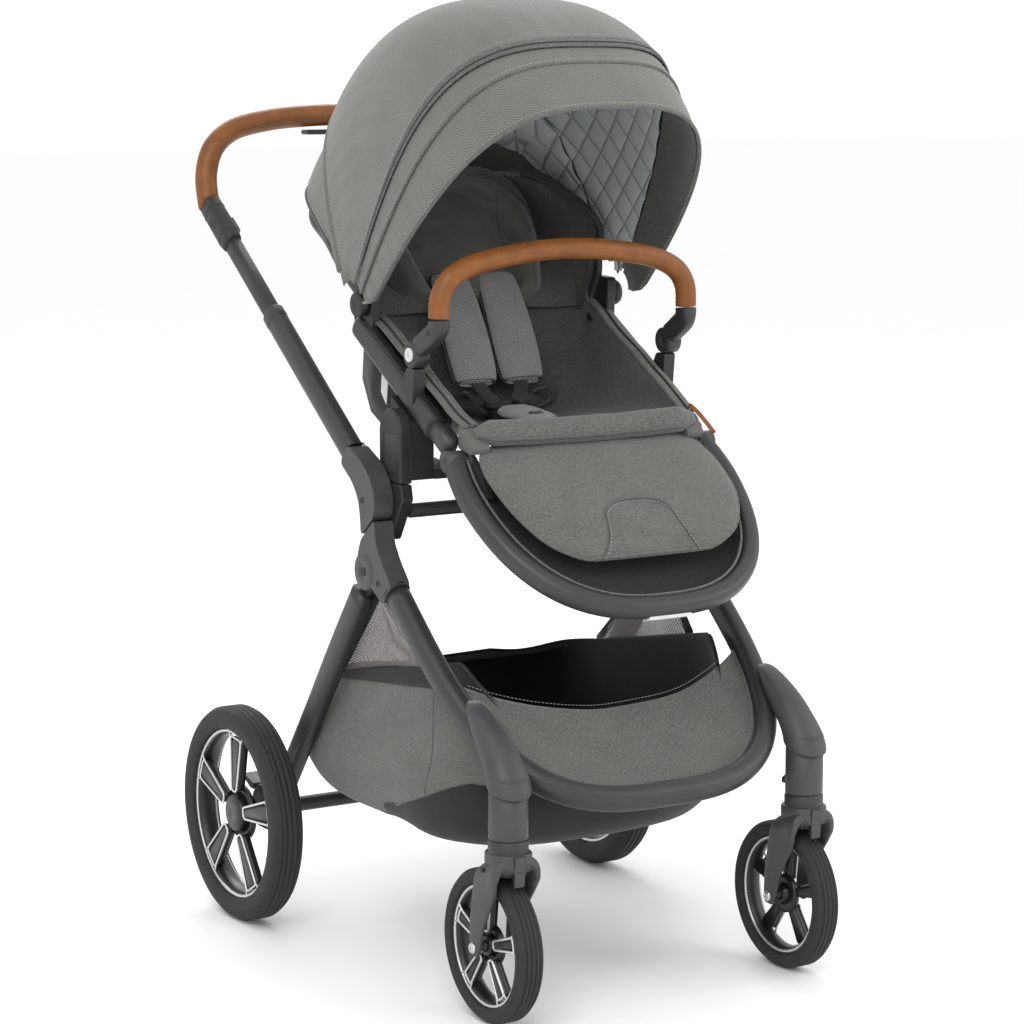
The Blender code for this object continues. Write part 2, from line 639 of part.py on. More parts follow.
def build_buckle_button():
    """The press button in the middle of the buckle."""
    base = Vector((0.0, -0.0300, 0.6895))
    return cylinder("buckle_button", base, base + Vector((0, 0, 0.0050)), 0.0110, "plastic", 16, 0.0100)


# ---------------------------------------------------------------- backrest
def narrow(target):
    """Draw the sides of the backrest together towards its head end."""
    for vertex in target.data.vertices:
        vertex.co.x *= 1.0 - 0.34 * min(max((vertex.co.z - 0.060) / 0.120, 0.0), 1.0)


def build_backrest():
    """The reclining back: a padded tub with side wings, open to the front."""
    outer = [(0.0560, 0.8260), (0.1075, 0.8410), (0.1785, 0.8890), (0.2210, 0.9190), (0.2355, 0.9480),
             (0.2200, 0.9640), (0.1880, 0.9720), (0.1540, 0.9840), (0.1150, 0.9950), (0.0640, 0.9500),
             (0.0340, 0.9000), (0.0280, 0.8500)]
    inner = [(0.0840, 0.7900), (0.0980, 0.8480), (0.1660, 0.9000), (0.2000, 0.9450), (0.1760, 0.9660),
             (0.1100, 1.0600), (-0.0500, 1.0000), (-0.0500, 0.7900)]
    body = prism("backrest", outer, -0.1700, 0.1700, "plastic", CANOPY_AXIS)
    hollow = prism("hollow", inner, -0.1580, 0.1580, "fabric", CANOPY_AXIS)
    narrow(body)
    narrow(hollow)
    cut(body, hollow)
    return body


def slab(name, stations, look, pivot=(0, 0, 0), x=0.0, power=3.0, count=16):
    """A soft pad along a path of (y, z, half width, half thickness) stations."""
    rings = []
    for i, (y, z, wide, thick) in enumerate(stations):
        before, after = stations[max(i - 1, 0)], stations[min(i + 1, len(stations) - 1)]
        along = Vector((0, after[0] - before[0], after[1] - before[1])).normalized()
        across = Vector((0, -along.z, along.y))
        section = rounded_section(wide, thick, power, count)
        rings.append([Vector((x + a, y, z)) + across * b for a, b in section])
    bm = bmesh.new()
    skin_rings(bm, rings)
    return add_object(name, bm, pivot, look)


def build_head_insert():
    """The padded infant insert at the head."""
    stations = [(0.0980, 0.8640, 0.070, 0.008), (0.1020, 0.8690, 0.100, 0.013), (0.1330, 0.9060, 0.112, 0.014),
                (0.1540, 0.9480, 0.104, 0.014), (0.1500, 0.9800, 0.080, 0.012), (0.1460, 0.9880, 0.050, 0.007)]
    return slab("head_insert", stations, "insert", CANOPY_AXIS)


def build_harness_pad(tag, side):
    """One shoulder pad of the harness."""
    stations = [(-0.0020, 0.7260, 0.022, 0.004), (0.0020, 0.7320, 0.031, 0.009), (0.0200, 0.7700, 0.033, 0.010),
                (0.0460, 0.8180, 0.031, 0.010), (0.0640, 0.8460, 0.028, 0.008), (0.0690, 0.8530, 0.022, 0.004)]
    return slab(f"harness_pad_{tag}", stations, "herringbone", CANOPY_AXIS, side * 0.0350)


# ---------------------------------------------------------------- canopy
def canopy_reach(phi):
    """The canopy's radius in the middle plane, at an angle in degrees from the rear horizontal."""
    fall = max(0.0, (125.0 - phi) / 62.0)
    return 0.4000 - 0.0750 * fall ** 2.2


def visor_edge(radius):
    """The angle of the visor's front edge: a plane that passes a little below the pivot."""
    return 135.0 + math.degrees(math.asin(min(0.6, 0.0346 / radius)))


def canopy_point(turn, phi, half_width, reach):
    """A point of the canopy: turn runs across from side to side, phi runs round the pivot."""
    c, s = math.cos(turn), math.sin(turn)
    radius = reach * abs(s) ** (2 / CANOPY_N)
    x = half_width * math.copysign(abs(c) ** (2 / CANOPY_N), c)
    angle = math.radians(phi)
    return Vector((x, CANOPY_AXIS.y + radius * math.cos(angle), CANOPY_AXIS.z + radius * math.sin(angle)))


def build_canopy_panel(name, start, end, half_width, shrink, look, across=18, along=6, visor=False):
    """One curved canopy panel as a thin closed shell."""
    first = 0.02
    turns = [first + (math.pi - 2 * first) * k / across for k in range(across + 1)]
    rings = []
    for layer_k in range(2):
        skin = CANOPY_SKIN * layer_k
        grid = []
        for turn in turns:
            row = []
            for j in range(along + 1):
                phi = start + (end - start) * j / along
                reach = canopy_reach(min(phi, 125.0)) - shrink
                if visor:
                    radius = reach * math.sin(turn) ** (2 / CANOPY_N)
                    phi = start + (visor_edge(radius) - start) * j / along
                    reach -= 0.010 * (j / along) ** 2
                row.append(canopy_point(turn, phi, half_width - skin, reach - skin))
            grid.append(row)
        rings.append(grid)
    outer, inner = rings
    loops = [row_out + row_in[::-1] for row_out, row_in in zip(outer, inner)]
    bm = bmesh.new()
    skin_rings(bm, loops)
    return add_object(name, bm, CANOPY_AXIS, look)


# ---------------------------------------------------------------- bumper bar
def build_bumper_arm(tag, side):
    """The plastic end of the bumper bar, with its round hinge knuckle."""
    body = cylinder(f"bumper_arm_{tag}", (side * 0.1760, BUMPER_AXIS.y, BUMPER_AXIS.z),
                    (side * 0.1960, BUMPER_AXIS.y, BUMPER_AXIS.z), 0.0150, "plastic", 20)
    body.data.transform(Matrix.Translation(body.location - BUMPER_AXIS))
    body.location = BUMPER_AXIS
    path = [(side * 0.1850, -0.1230, 0.7860), (side * 0.1840, -0.1400, 0.7960), (side * 0.1825, -0.1560, 0.8060),
            (side * 0.1811, -0.1622, 0.8150), (side * 0.1810, -0.1623, 0.8222)]
    arm = sweep("arm", path, rounded_section(0.0095, 0.0110, 2.6, 12), (1, 0, 0), "plastic", BUMPER_AXIS,
                [1.0, 1.0, 1.0, 1.05, 1.1])
    union(body, arm)
    pocket = cylinder("pocket", (side * 0.1938, BUMPER_AXIS.y, BUMPER_AXIS.z),
                      (side * 0.1980, BUMPER_AXIS.y, BUMPER_AXIS.z), 0.0094, "plastic", 20)
    cut(body, pocket)
    return body


def build_bumper_grip():
    """The leather-covered bumper bar."""
    half = smooth_path([(-0.1810, -0.1624, 0.8240), (-0.1790, -0.1630, 0.8500), (-0.1660, -0.1630, 0.8710),
                        (-0.1400, -0.1630, 0.8850), (-0.1050, -0.1630, 0.8935), (-0.0500, -0.1630, 0.9010),
                        (0.0, -0.1630, 0.9035)], 2)
    return sweep("bumper_grip", mirrored_path(half), rounded_section(0.0130, 0.0130, 2.0, 12), (0, 1, 0), "leather",
                 BUMPER_AXIS)


def build_bumper_button(tag, side):
    """The round release button at the end of the bumper's hinge."""
    base = Vector((side * 0.1953, BUMPER_AXIS.y, BUMPER_AXIS.z))
    return cylinder(f"bumper_button_{tag}", base, base + Vector((side * 0.0032, 0, 0)), 0.0090, "silver", 20)


# ---------------------------------------------------------------- footrest
def build_footrest_frame():
    """The footrest's U-shaped tube, with a round knuckle on the hinge at each end."""
    half = loop_half(FOOT_START, 0.1895, 0.023, 0.2310, steps=9, power=2.6, pinch=0.0080)
    section = rounded_section(0.0135, 0.0120, 2.6, 12)
    normal = (0, -math.sin(LOOP_SLOPE), math.cos(LOOP_SLOPE))
    body = sweep("footrest_frame", mirrored_path(half), section, normal, "frame", FOOT_AXIS)
    return body


def build_footrest_pad():
    """The padded calf rest over the footrest's tube."""
    stations = [(-0.2230, 0.6540, 0.145, 0.004), (-0.2280, 0.6530, 0.155, 0.008), (-0.2600, 0.6320, 0.163, 0.009),
                (-0.3050, 0.6010, 0.158, 0.009), (-0.3380, 0.5700, 0.135, 0.009), (-0.3560, 0.5460, 0.095, 0.006)]
    return slab("footrest_pad", stations, "fabric", FOOT_AXIS)


# ---------------------------------------------------------------- assembly
def build_chassis():
    """Everything that stays put when the stroller folds."""
    build_loop_tube("front_frame")
    build_cross_bar()
    build_basket()
    for tag, side in SIDES:
        build_leg_crown(tag, side)
        build_caster_housing(tag, side)
        build_swivel_lock(tag, side)
        build_seat_socket(tag, side)


def build_running_gear():
    """The rear legs and axle, the brake pedal, the caster forks and all four wheels."""
    build_rear_axle()
    build_brake_pedal()
    rear_half = (REAR_WHEEL_OUTER_X - REAR_WHEEL_INNER_X) / 2
    rear_x = (REAR_WHEEL_OUTER_X + REAR_WHEEL_INNER_X) / 2
    for tag, side in SIDES:
        build_rear_leg(tag, side)
        build_fork(tag, side)
        rear = Vector((side * rear_x, REAR_AXLE.y, REAR_AXLE.z))
        front = Vector((side * CASTER_X, CASTER_Y + CASTER_TRAIL, FRONT_WHEEL_RADIUS))
        build_wheel("rear", tag, side, rear, rear_half, REAR_WHEEL_RADIUS, REAR_TYRE_INNER, 0.0260)
        build_wheel("front", tag, side, front, FRONT_WHEEL_HALF, FRONT_WHEEL_RADIUS, FRONT_TYRE_INNER, 0.0140)


def build_handle():
    """The folding and sliding handle."""
    build_handle_grip()
    build_fold_trigger()
    for tag, side in SIDES:
        build_hub(tag, side)
        build_outer_tube(tag, side)
        build_inner_tube(tag, side)
        build_handle_block(tag, side)
        build_height_button(tag, side)


def build_seat():
    """The seat with its backrest, canopy, bumper bar and footrest."""
    build_seat_tub()
    build_buckle()
    build_buckle_button()
    build_backrest()
    build_head_insert()
    build_bumper_grip()
    build_footrest_frame()
    build_footrest_pad()
    build_canopy_panel("canopy_rear", 44.0, 62.0, 0.1965, 0.0200, "herringbone", along=3)
    build_canopy_panel("canopy_main", 62.6, 124.6, 0.2060, 0.0, "herringbone", along=8)
    build_canopy_panel("canopy_visor", 125.0, 140.0, 0.2020, 0.0055, "herringbone", along=3, visor=True)
    for tag, side in SIDES:
        build_seat_rail(tag, side)
        build_seat_adapter(tag, side)
        build_adapter_button(tag, side)
        build_harness_pad(tag, side)
        build_bumper_arm(tag, side)
        build_bumper_button(tag, side)


def main():
    """Build the whole stroller."""
    clear_scene()
    build_chassis()
    build_running_gear()
    build_handle()
    build_seat()


main()
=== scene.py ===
"""The looks of a folding baby stroller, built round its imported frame.

Every size is in metres, in the frame's own axes: +X is the stroller's left, -Y is the front, +Z is up.
"""
import math

import bmesh
import bpy
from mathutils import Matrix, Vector, noise


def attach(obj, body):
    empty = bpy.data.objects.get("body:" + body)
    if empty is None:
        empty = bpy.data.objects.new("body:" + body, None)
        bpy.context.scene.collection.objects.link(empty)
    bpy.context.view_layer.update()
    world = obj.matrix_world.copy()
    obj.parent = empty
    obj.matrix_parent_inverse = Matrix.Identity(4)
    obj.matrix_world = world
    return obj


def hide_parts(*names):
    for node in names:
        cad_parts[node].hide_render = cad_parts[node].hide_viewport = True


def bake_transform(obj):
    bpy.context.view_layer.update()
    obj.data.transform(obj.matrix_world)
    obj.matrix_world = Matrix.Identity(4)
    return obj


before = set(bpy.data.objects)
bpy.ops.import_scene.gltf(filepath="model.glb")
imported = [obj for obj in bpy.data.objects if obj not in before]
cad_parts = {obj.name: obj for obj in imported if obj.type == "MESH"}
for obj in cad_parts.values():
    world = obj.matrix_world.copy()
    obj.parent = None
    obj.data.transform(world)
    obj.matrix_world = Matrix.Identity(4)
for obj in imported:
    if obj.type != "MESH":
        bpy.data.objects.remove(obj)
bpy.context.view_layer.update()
SIDES = (("right", -1.0), ("left", 1.0))
GAP = 0.0003

# ---------------------------------------------------------------- driving sizes, as the solids have them
FRAME_X, FRAME_HALF = 0.2222, 0.0125
REAR_LEG_AXIS = Vector((0.0, -0.0700, 0.5050))
REAR_AXLE = Vector((0.0, 0.2025, 0.1435))
REAR_WHEEL_X, REAR_WHEEL_HALF = 0.27625, 0.02225
REAR_RADIUS, REAR_INNER = 0.1435, 0.1130
FRONT_RADIUS, FRONT_INNER, FRONT_HALF = 0.0940, 0.0745, 0.0180
CASTER = Vector((0.2150, -0.3815, 0.2320))
CASTER_TRAIL = 0.0350
TUBE_POINT, TUBE_ANGLE = Vector((0.0, 0.0775, 0.7160)), math.radians(35.8)
COLLAR_S, BLOCK_START_S, BLOCK_END_S = 0.153, 0.297, 0.380
SLOPE = math.radians(40.0)
LOOP_START = Vector((0.0, -0.1375, 0.4780))
FOOT_START = Vector((0.0, -0.1985, 0.6534))
RAIL_X, RAIL_SLOPE = 0.1800, math.radians(30.3)
RAIL_TOP, RAIL_LENGTH = Vector((0.0, 0.0400, 0.8010)), 0.2810
CANOPY_AXIS = Vector((0.0, 0.0225, 0.8290))
BUMPER_AXIS = Vector((0.0, -0.1160, 0.7770))
WORLD_LIGHT = 1.04
LIGHTS = (("key", (-2.2, -2.6, 3.2), 70.0, 2.4), ("fill", (2.6, -2.0, 1.8), 30.0, 2.4),
          ("back", (0.8, 2.8, 2.6), 45.0, 2.0))
QUILT_SIZE, QUILT_SIDE = 0.046, 0.150
CANOPY_N = 3.1


# ---------------------------------------------------------------- material tools
class Nodes:
    """A material under construction, with short calls for the nodes that repeat."""

    def __init__(self, name, rough, metal=0.0, sheen=0.0, coat=0.0, specular=0.5):
        self.mat = bpy.data.materials.new(name)
        self.mat.use_nodes = True
        self.tree = self.mat.node_tree
        self.shader = self.tree.nodes["Principled BSDF"]
        self.shader.inputs["Roughness"].default_value = rough
        self.shader.inputs["Metallic"].default_value = metal
        self.shader.inputs["Sheen Weight"].default_value = sheen
        self.shader.inputs["Sheen Roughness"].default_value = 0.5
        self.shader.inputs["Coat Weight"].default_value = coat
        self.shader.inputs["Coat Roughness"].default_value = 0.25
        self.shader.inputs["Specular IOR Level"].default_value = specular
        self.coords = self.tree.nodes.new("ShaderNodeTexCoord")

    def put(self, socket, value):
        if hasattr(value, "is_output"):
            self.tree.links.new(value, socket)
        else:
            socket.default_value = value

    def math(self, operation, a, b=0.0, c=0.0):
        node = self.tree.nodes.new("ShaderNodeMath")
        node.operation = operation
        for k, value in enumerate((a, b, c)):
            self.put(node.inputs[k], value)
        return node.outputs[0]

    def scaled(self, source, scale):
        node = self.tree.nodes.new("ShaderNodeMapping")
        self.put(node.inputs["Vector"], self.coords.outputs[source])
        node.inputs["Scale"].default_value = scale
        return node.outputs[0]

    def split(self, vector):
        node = self.tree.nodes.new("ShaderNodeSeparateXYZ")
        self.put(node.inputs[0], vector)
        return node.outputs

    def noise(self, vector, scale, detail=2.0, rough=0.5):
        node = self.tree.nodes.new("ShaderNodeTexNoise")
        self.put(node.inputs["Vector"], vector)
        node.inputs["Scale"].default_value = scale
        node.inputs["Detail"].default_value = detail
        node.inputs["Roughness"].default_value = rough
        return node.outputs["Fac"]

    def cells(self, vector, scale):
        node = self.tree.nodes.new("ShaderNodeTexVoronoi")
        self.put(node.inputs["Vector"], vector)
        node.inputs["Scale"].default_value = scale
        return node.outputs["Distance"]

    def ramp(self, value, low, high, out_low=0.0, out_high=1.0):
        node = self.tree.nodes.new("ShaderNodeMapRange")
        node.inputs["From Min"].default_value = low
        node.inputs["From Max"].default_value = high
        node.inputs["To Min"].default_value = out_low
        node.inputs["To Max"].default_value = out_high
        self.put(node.inputs["Value"], value)
        return node.outputs[0]

    def mix(self, factor, a, b):
        node = self.tree.nodes.new("ShaderNodeMix")
        node.data_type = "RGBA"
        self.put(node.inputs["Factor"], factor)
        for socket, value in ((node.inputs[6], a), (node.inputs[7], b)):
            self.put(socket, value if hasattr(value, "is_output") else (*value, 1.0))
        return node.outputs[2]

    def colour(self, value):
        self.put(self.shader.inputs["Base Color"],
                 value if hasattr(value, "is_output") else (*value, 1.0))

    def bump(self, height, strength, distance):
        node = self.tree.nodes.new("ShaderNodeBump")
        node.inputs["Strength"].default_value = strength
        node.inputs["Distance"].default_value = distance
        self.put(node.inputs["Height"], height)
        self.put(self.shader.inputs["Normal"], node.outputs[0])

    def rough(self, value, low, high):
        self.put(self.shader.inputs["Roughness"], self.ramp(value, 0.3, 0.7, low, high))


def shade(colour, factor):
    """A colour made lighter or darker."""
    return tuple(min(1.0, c * factor) for c in colour)


def heather(name, colour, contrast=0.45, fibre=420.0, source="UV"):
    """A melange cloth: short streaks of lighter and darker yarn over a fine plain weave."""
    m = Nodes(name, 0.92, sheen=0.25, specular=0.2)
    streaks = m.noise(m.scaled(source, (1.0, 0.32, 1.0)), fibre, 3.0, 0.65)
    specks = m.noise(m.scaled(source, (1.0, 1.0, 1.0)), fibre * 2.6, 1.0)
    cloud = m.noise(m.scaled(source, (1.0, 1.0, 1.0)), 22.0, 3.0)
    tone = m.math("ADD", m.math("MULTIPLY", streaks, 0.75), m.math("MULTIPLY", specks, 0.25))
    tone = m.math("ADD", tone, m.math("MULTIPLY", m.math("SUBTRACT", cloud, 0.5), 0.14))
    m.colour(m.mix(m.ramp(tone, 0.34, 0.66), shade(colour, 1.0 - contrast),
                   shade(colour, 1.0 + contrast)))
    m.bump(m.math("ADD", tone, m.math("MULTIPLY", cloud, 0.6)), 0.45, 0.0012)
    return m.mat


def herringbone(name, colour, column=0.0185, pitch=0.0034, contrast=0.24):
    """A herringbone twill: diagonal ribs that turn back at each column."""
    m = Nodes(name, 0.9, sheen=0.25, specular=0.2)
    axes = m.split(m.scaled("UV", (1.0, 1.0, 1.0)))
    zigzag = m.math("PINGPONG", m.math("ADD", axes[0], 4.0), column)
    along = m.math("ADD", m.math("MULTIPLY", zigzag, 0.62), axes[1])
    rib = m.math("SINE", m.math("MULTIPLY", along, 2.0 * math.pi / pitch))
    grain = m.noise(m.scaled("UV", (1.0, 1.0, 1.0)), 520.0, 2.0)
    cloud = m.noise(m.scaled("UV", (1.0, 1.0, 1.0)), 14.0, 2.0)
    tone = m.math("ADD", m.math("MULTIPLY", rib, 0.30), m.math("MULTIPLY", grain, 0.9))
    tone = m.math("ADD", tone, m.math("MULTIPLY", m.math("SUBTRACT", cloud, 0.5), 0.35))
    m.colour(m.mix(m.ramp(tone, 0.0, 0.9), shade(colour, 1.0 - contrast),
                   shade(colour, 1.0 + contrast)))
    m.bump(tone, 0.5, 0.0010)
    return m.mat


def smooth_cloth(name, colour, gloss=0.75, sheen=0.3):
    """A closely woven plain cloth with soft creases; its colour is painted shade in their hollows and painted highlight
    on their ridges.
    """
    m = Nodes(name, gloss, sheen=sheen, specular=0.3)
    fine = m.noise(m.scaled("Object", (1.0, 1.0, 1.0)), 900.0, 1.0)
    crease = m.noise(m.scaled("Object", (1.0, 1.0, 1.6)), 26.0, 3.0, 0.6)
    # painted shade and highlight: the crease height that bumps the cloth also darkens its hollows and lightens its
    # ridges
    m.colour(m.mix(m.ramp(crease, 0.3, 0.7), shade(colour, 0.86), shade(colour, 1.16)))
    m.bump(m.math("ADD", m.math("MULTIPLY", fine, 0.12), crease), 0.35, 0.0020)
    return m.mat


def quilted(name, colour):
    """A smooth lining, with painted shade along the crossing stitch lines of its quilting, where the cloth dips into
    creases.
    """
    m = Nodes(name, 0.55, sheen=0.2, specular=0.3)
    x, y, z = m.split(m.scaled("Object", (1.0, 1.0, 1.0)))
    side = m.math("GREATER_THAN", m.math("ABSOLUTE", x), QUILT_SIDE)
    across = m.math("ADD", m.math("MULTIPLY", side, z),
                    m.math("MULTIPLY", m.math("SUBTRACT", 1.0, side), x))
    up = m.math("ABSOLUTE",
                m.math("SINE", m.math("MULTIPLY", m.math("ADD", across, y), math.pi / QUILT_SIZE)))
    down = m.math("ABSOLUTE",
                  m.math("SINE", m.math("MULTIPLY", m.math("SUBTRACT", across, y), math.pi / QUILT_SIZE)))
    crease = m.noise(m.scaled("Object", (1.0, 1.0, 1.6)), 30.0, 3.0, 0.6)
    line = m.math("MINIMUM", up, down)
    # painted shade: the colour drops to half along the stitch lines, in the hollows of the quilting
    m.colour(m.mix(m.ramp(line, 0.01, 0.20), shade(colour, 0.50), shade(colour, 1.04)))
    m.bump(m.math("ADD", crease, m.math("MULTIPLY", m.math("MINIMUM", line, 0.3), 3.0)), 0.5,
           0.0030)
    return m.mat


def painted(name, colour, rough=0.42, metal=0.35):
    """Powder-coated metal: a fine pebbled skin with faint handling marks."""
    m = Nodes(name, rough, metal=metal, specular=0.5)
    fine = m.noise(m.scaled("Object", (1.0, 1.0, 1.0)), 1400.0, 2.0)
    wear = m.noise(m.scaled("Object", (1.0, 1.0, 1.0)), 18.0, 4.0, 0.6)
    m.colour(m.mix(m.ramp(wear, 0.3, 0.75), shade(colour, 0.9), shade(colour, 1.12)))
    m.rough(wear, rough - 0.05, rough + 0.08)
    m.bump(fine, 0.12, 0.0004)
    return m.mat


def moulded(name, colour, rough=0.5, grain=1100.0):
    """Moulded plastic with a fine spark-eroded grain."""
    m = Nodes(name, rough, specular=0.45)
    fine = m.cells(m.scaled("Object", (1.0, 1.0, 1.0)), grain)
    wear = m.noise(m.scaled("Object", (1.0, 1.0, 1.0)), 24.0, 3.0, 0.6)
    m.colour(m.mix(m.ramp(wear, 0.3, 0.75), shade(colour, 0.88), shade(colour, 1.15)))
    m.rough(wear, rough - 0.06, rough + 0.08)
    m.bump(fine, 0.15, 0.0004)
    return m.mat


def leather(name, colour):
    """Smooth tan leatherette: pebbled grain, with the colour rubbed lighter in patches."""
    m = Nodes(name, 0.50, coat=0.06, specular=0.35)
    grain = m.cells(m.scaled("Object", (1.0, 1.0, 1.0)), 620.0)
    fine = m.noise(m.scaled("Object", (1.0, 1.0, 1.0)), 300.0, 3.0)
    patch = m.noise(m.scaled("Object", (1.0, 1.0, 1.0)), 30.0, 4.0, 0.6)
    m.colour(m.mix(m.ramp(patch, 0.3, 0.72), shade(colour, 0.72), shade(colour, 1.28)))
    m.rough(fine, 0.40, 0.55)
    m.bump(m.math("ADD", grain, m.math("MULTIPLY", fine, 0.5)), 0.22, 0.0006)
    return m.mat


def rubber(name, colour, wave):
    """Tyre rubber, dull and slightly dusty, with wavy tread cuts drawn round both shoulders."""
    m = Nodes(name, 0.72, specular=0.35)
    axes = m.split(m.scaled("UV", (1.0, 1.0, 1.0)))
    swing = m.math("MULTIPLY", m.math("SINE", m.math("MULTIPLY", axes[0], 2.0 * math.pi / wave)),
                   wave * 0.16)
    line = m.math("ABSOLUTE", m.math("ADD", m.math("ABSOLUTE", axes[1]), swing))
    near = m.math("ABSOLUTE", m.math("SUBTRACT", line, wave * 0.62))
    cut = m.ramp(near, 0.0005, 0.0012)
    dust = m.noise(m.scaled("Object", (1.0, 1.0, 1.0)), 90.0, 4.0, 0.65)
    m.colour(m.mix(m.ramp(dust, 0.35, 0.75), colour, shade(colour, 1.7)))
    m.rough(dust, 0.62, 0.82)
    m.bump(m.math("ADD", cut, m.math("MULTIPLY", dust, 0.12)), 0.8, 0.0012)
    return m.mat


def metal_trim(name, colour, rough):
    """Satin silver trim."""
    m = Nodes(name, rough, metal=0.85, specular=0.5)
    scuff = m.noise(m.scaled("Object", (1.0, 1.0, 1.0)), 160.0, 3.0)
    m.colour(m.mix(scuff, shade(colour, 0.9), shade(colour, 1.08)))
    m.rough(scuff, rough - 0.06, rough + 0.08)
    return m.mat


def webbing(name, colour):
    """Woven strap: crossing ribs."""
    m = Nodes(name, 0.7, sheen=0.2, specular=0.35)
    axes = m.split(m.scaled("UV", (1.0, 1.0, 1.0)))
    a = m.math("SINE", m.math("MULTIPLY", axes[0], 2600.0))
    b = m.math("SINE", m.math("MULTIPLY", axes[1], 3800.0))
    weave = m.math("MULTIPLY", a, b)
    m.colour(m.mix(m.ramp(weave, -1.0, 1.0), shade(colour, 0.6), shade(colour, 1.5)))
    m.bump(weave, 0.5, 0.0006)
    return m.mat


def netting(name, colour, pitch, hole):
    """Open mesh cloth: the light passes between the yarns."""
    m = Nodes(name, 0.85, sheen=0.2, specular=0.2)
    axes = m.split(m.scaled("UV", (1.0, 1.0, 1.0)))
    row = m.math("SINE", m.math("MULTIPLY", axes[0], 2.0 * math.pi / pitch))
    col = m.math("SINE", m.math("MULTIPLY", axes[1], 2.0 * math.pi / pitch))
    open_part = m.math("GREATER_THAN", m.math("MULTIPLY", row, col), hole)
    m.colour(m.mix(m.ramp(m.noise(m.scaled("UV", (1, 1, 1)), 300.0), 0.3, 0.7), shade(colour, 0.8),
                   shade(colour, 1.2)))
    m.put(m.shader.inputs["Alpha"], m.math("SUBTRACT", 1.0, open_part))
    m.bump(m.math("ABSOLUTE", m.math("MULTIPLY", row, col)), 0.4, 0.0006)
    return m.mat


LOOKS = {
    "tube": painted("charcoal_tube", (0.041, 0.042, 0.043), 0.40, 0.35),
    "shell": moulded("grey_shell", (0.043, 0.044, 0.046), 0.46),
    "black": moulded("black_plastic", (0.014, 0.0145, 0.015), 0.48),
    "dark": moulded("dark_plastic", (0.026, 0.027, 0.028), 0.45),
    "grip": leather("tan_leather", (0.190, 0.062, 0.0085)),
    "canopy": herringbone("canopy_herringbone", (0.138, 0.138, 0.126), 0.0160, 0.0038, 0.40),
    "pads": herringbone("pad_herringbone", (0.185, 0.190, 0.186), 0.0110, 0.0034, 0.62),
    "heather": heather("heather_cloth", (0.104, 0.104, 0.096), 0.46, 560.0),
    "liner": heather("liner_cloth", (0.072, 0.072, 0.067), 0.44, 560.0),
    "insert": smooth_cloth("insert_cloth", (0.074, 0.075, 0.065)),
    "piping": smooth_cloth("grey_piping", (0.070, 0.071, 0.066)),
    "zip": smooth_cloth("zip_tape", (0.030, 0.031, 0.031)),
    "lining": quilted("quilted_lining", (0.46, 0.49, 0.49)),
    "black_cloth": smooth_cloth("black_cloth", (0.010, 0.0105, 0.011), 0.85, 0.15),
    "rubber": rubber("tyre_rubber", (0.017, 0.0175, 0.018), 0.0215),
    "rim": moulded("rim_plastic", (0.012, 0.0125, 0.013), 0.36),
    "inlay": moulded("spoke_inlay", (0.060, 0.062, 0.064), 0.5),
    "silver": metal_trim("silver_trim", (0.62, 0.625, 0.63), 0.34),
    "chrome": metal_trim("steel_bolt", (0.55, 0.55, 0.55), 0.18),
    "white": moulded("pale_button", (0.62, 0.62, 0.60), 0.4),
    "web": webbing("black_webbing", (0.012, 0.012, 0.012)),
    "net": netting("grey_net", (0.18, 0.165, 0.16), 0.0030, 0.25),
    "black_net": netting("black_net", (0.016, 0.017, 0.018), 0.0036, 0.55),
    "thread": smooth_cloth("stitch_thread", (0.30, 0.30, 0.28)),
}


# ---------------------------------------------------------------- mesh tools
def finish_piece(piece, look, body, nodes=()):
    """Give a piece its material, put it in its body when that body is one name (otherwise leave it unparented where it
    is), and hide the solids that it stands for.
    """
    piece.data.materials.append(LOOKS[look])
    if isinstance(body, str):
        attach(piece, body)
    else:
        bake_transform(piece)
    if nodes:
        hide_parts(*nodes)
    return piece


def new_piece(name, vertices, faces, uvs=None):
    """A mesh object from vertices and faces, with one (u, v) for each face corner."""
    mesh = bpy.data.meshes.new(name)
    mesh.from_pydata([tuple(v) for v in vertices], [], faces)
    if uvs:
        layer = mesh.uv_layers.new(name="UVMap")
        for corner, uv in zip(layer.data, uvs):
            corner.uv = uv
    mesh.polygons.foreach_set("use_smooth", [True] * len(mesh.polygons))
    piece = bpy.data.objects.new(name, mesh)
    bpy.context.scene.collection.objects.link(piece)
    return piece


def skin(name, rows, wrap=False, loop=False, caps=False):
    """Quads over rows of points. UVs are arc lengths: along the row from its middle, and across the rows."""
    count, tall = len(rows[0]), len(rows)
    across = count if wrap else count - 1
    down = tall if loop else tall - 1
    along = []
    for row in rows:
        lengths = [0.0]
        for k in range(across):
            lengths.append(lengths[-1] + (row[(k + 1) % count] - row[k]).length)
        middle = lengths[-1] / 2
        along.append([v - middle for v in lengths])
    over = [[0.0] * (across + 1)]
    for i in range(down):
        low, high = rows[i], rows[(i + 1) % tall]
        step = [(high[k % count] - low[k % count]).length for k in range(across + 1)]
        over.append([a + b for a, b in zip(over[-1], step)])
    faces, uvs = [], []
    for i in range(down):
        for k in range(across):
            a, b = (i, k), (i, k + 1)
            c, d = (i + 1, k + 1), (i + 1, k)
            faces.append([(p[0] % tall) * count + p[1] % count for p in (a, b, c, d)])
            uvs += [(along[p[0] % tall][p[1]], over[p[0]][p[1]]) for p in (a, b, c, d)]
    if caps:
        faces.append(list(range(count))[::-1])
        faces.append([(tall - 1) * count + k for k in range(count)])
        uvs += [(rows[0][k].x, rows[0][k].z) for k in reversed(range(count))]
        uvs += [(rows[-1][k].x, rows[-1][k].z) for k in range(count)]
    piece = new_piece(name, [p for row in rows for p in row], faces, uvs)
    bm = bmesh.new()
    bm.from_mesh(piece.data)
    bmesh.ops.recalc_face_normals(bm, faces=bm.faces)
    bm.to_mesh(piece.data)
    bm.free()
    return piece


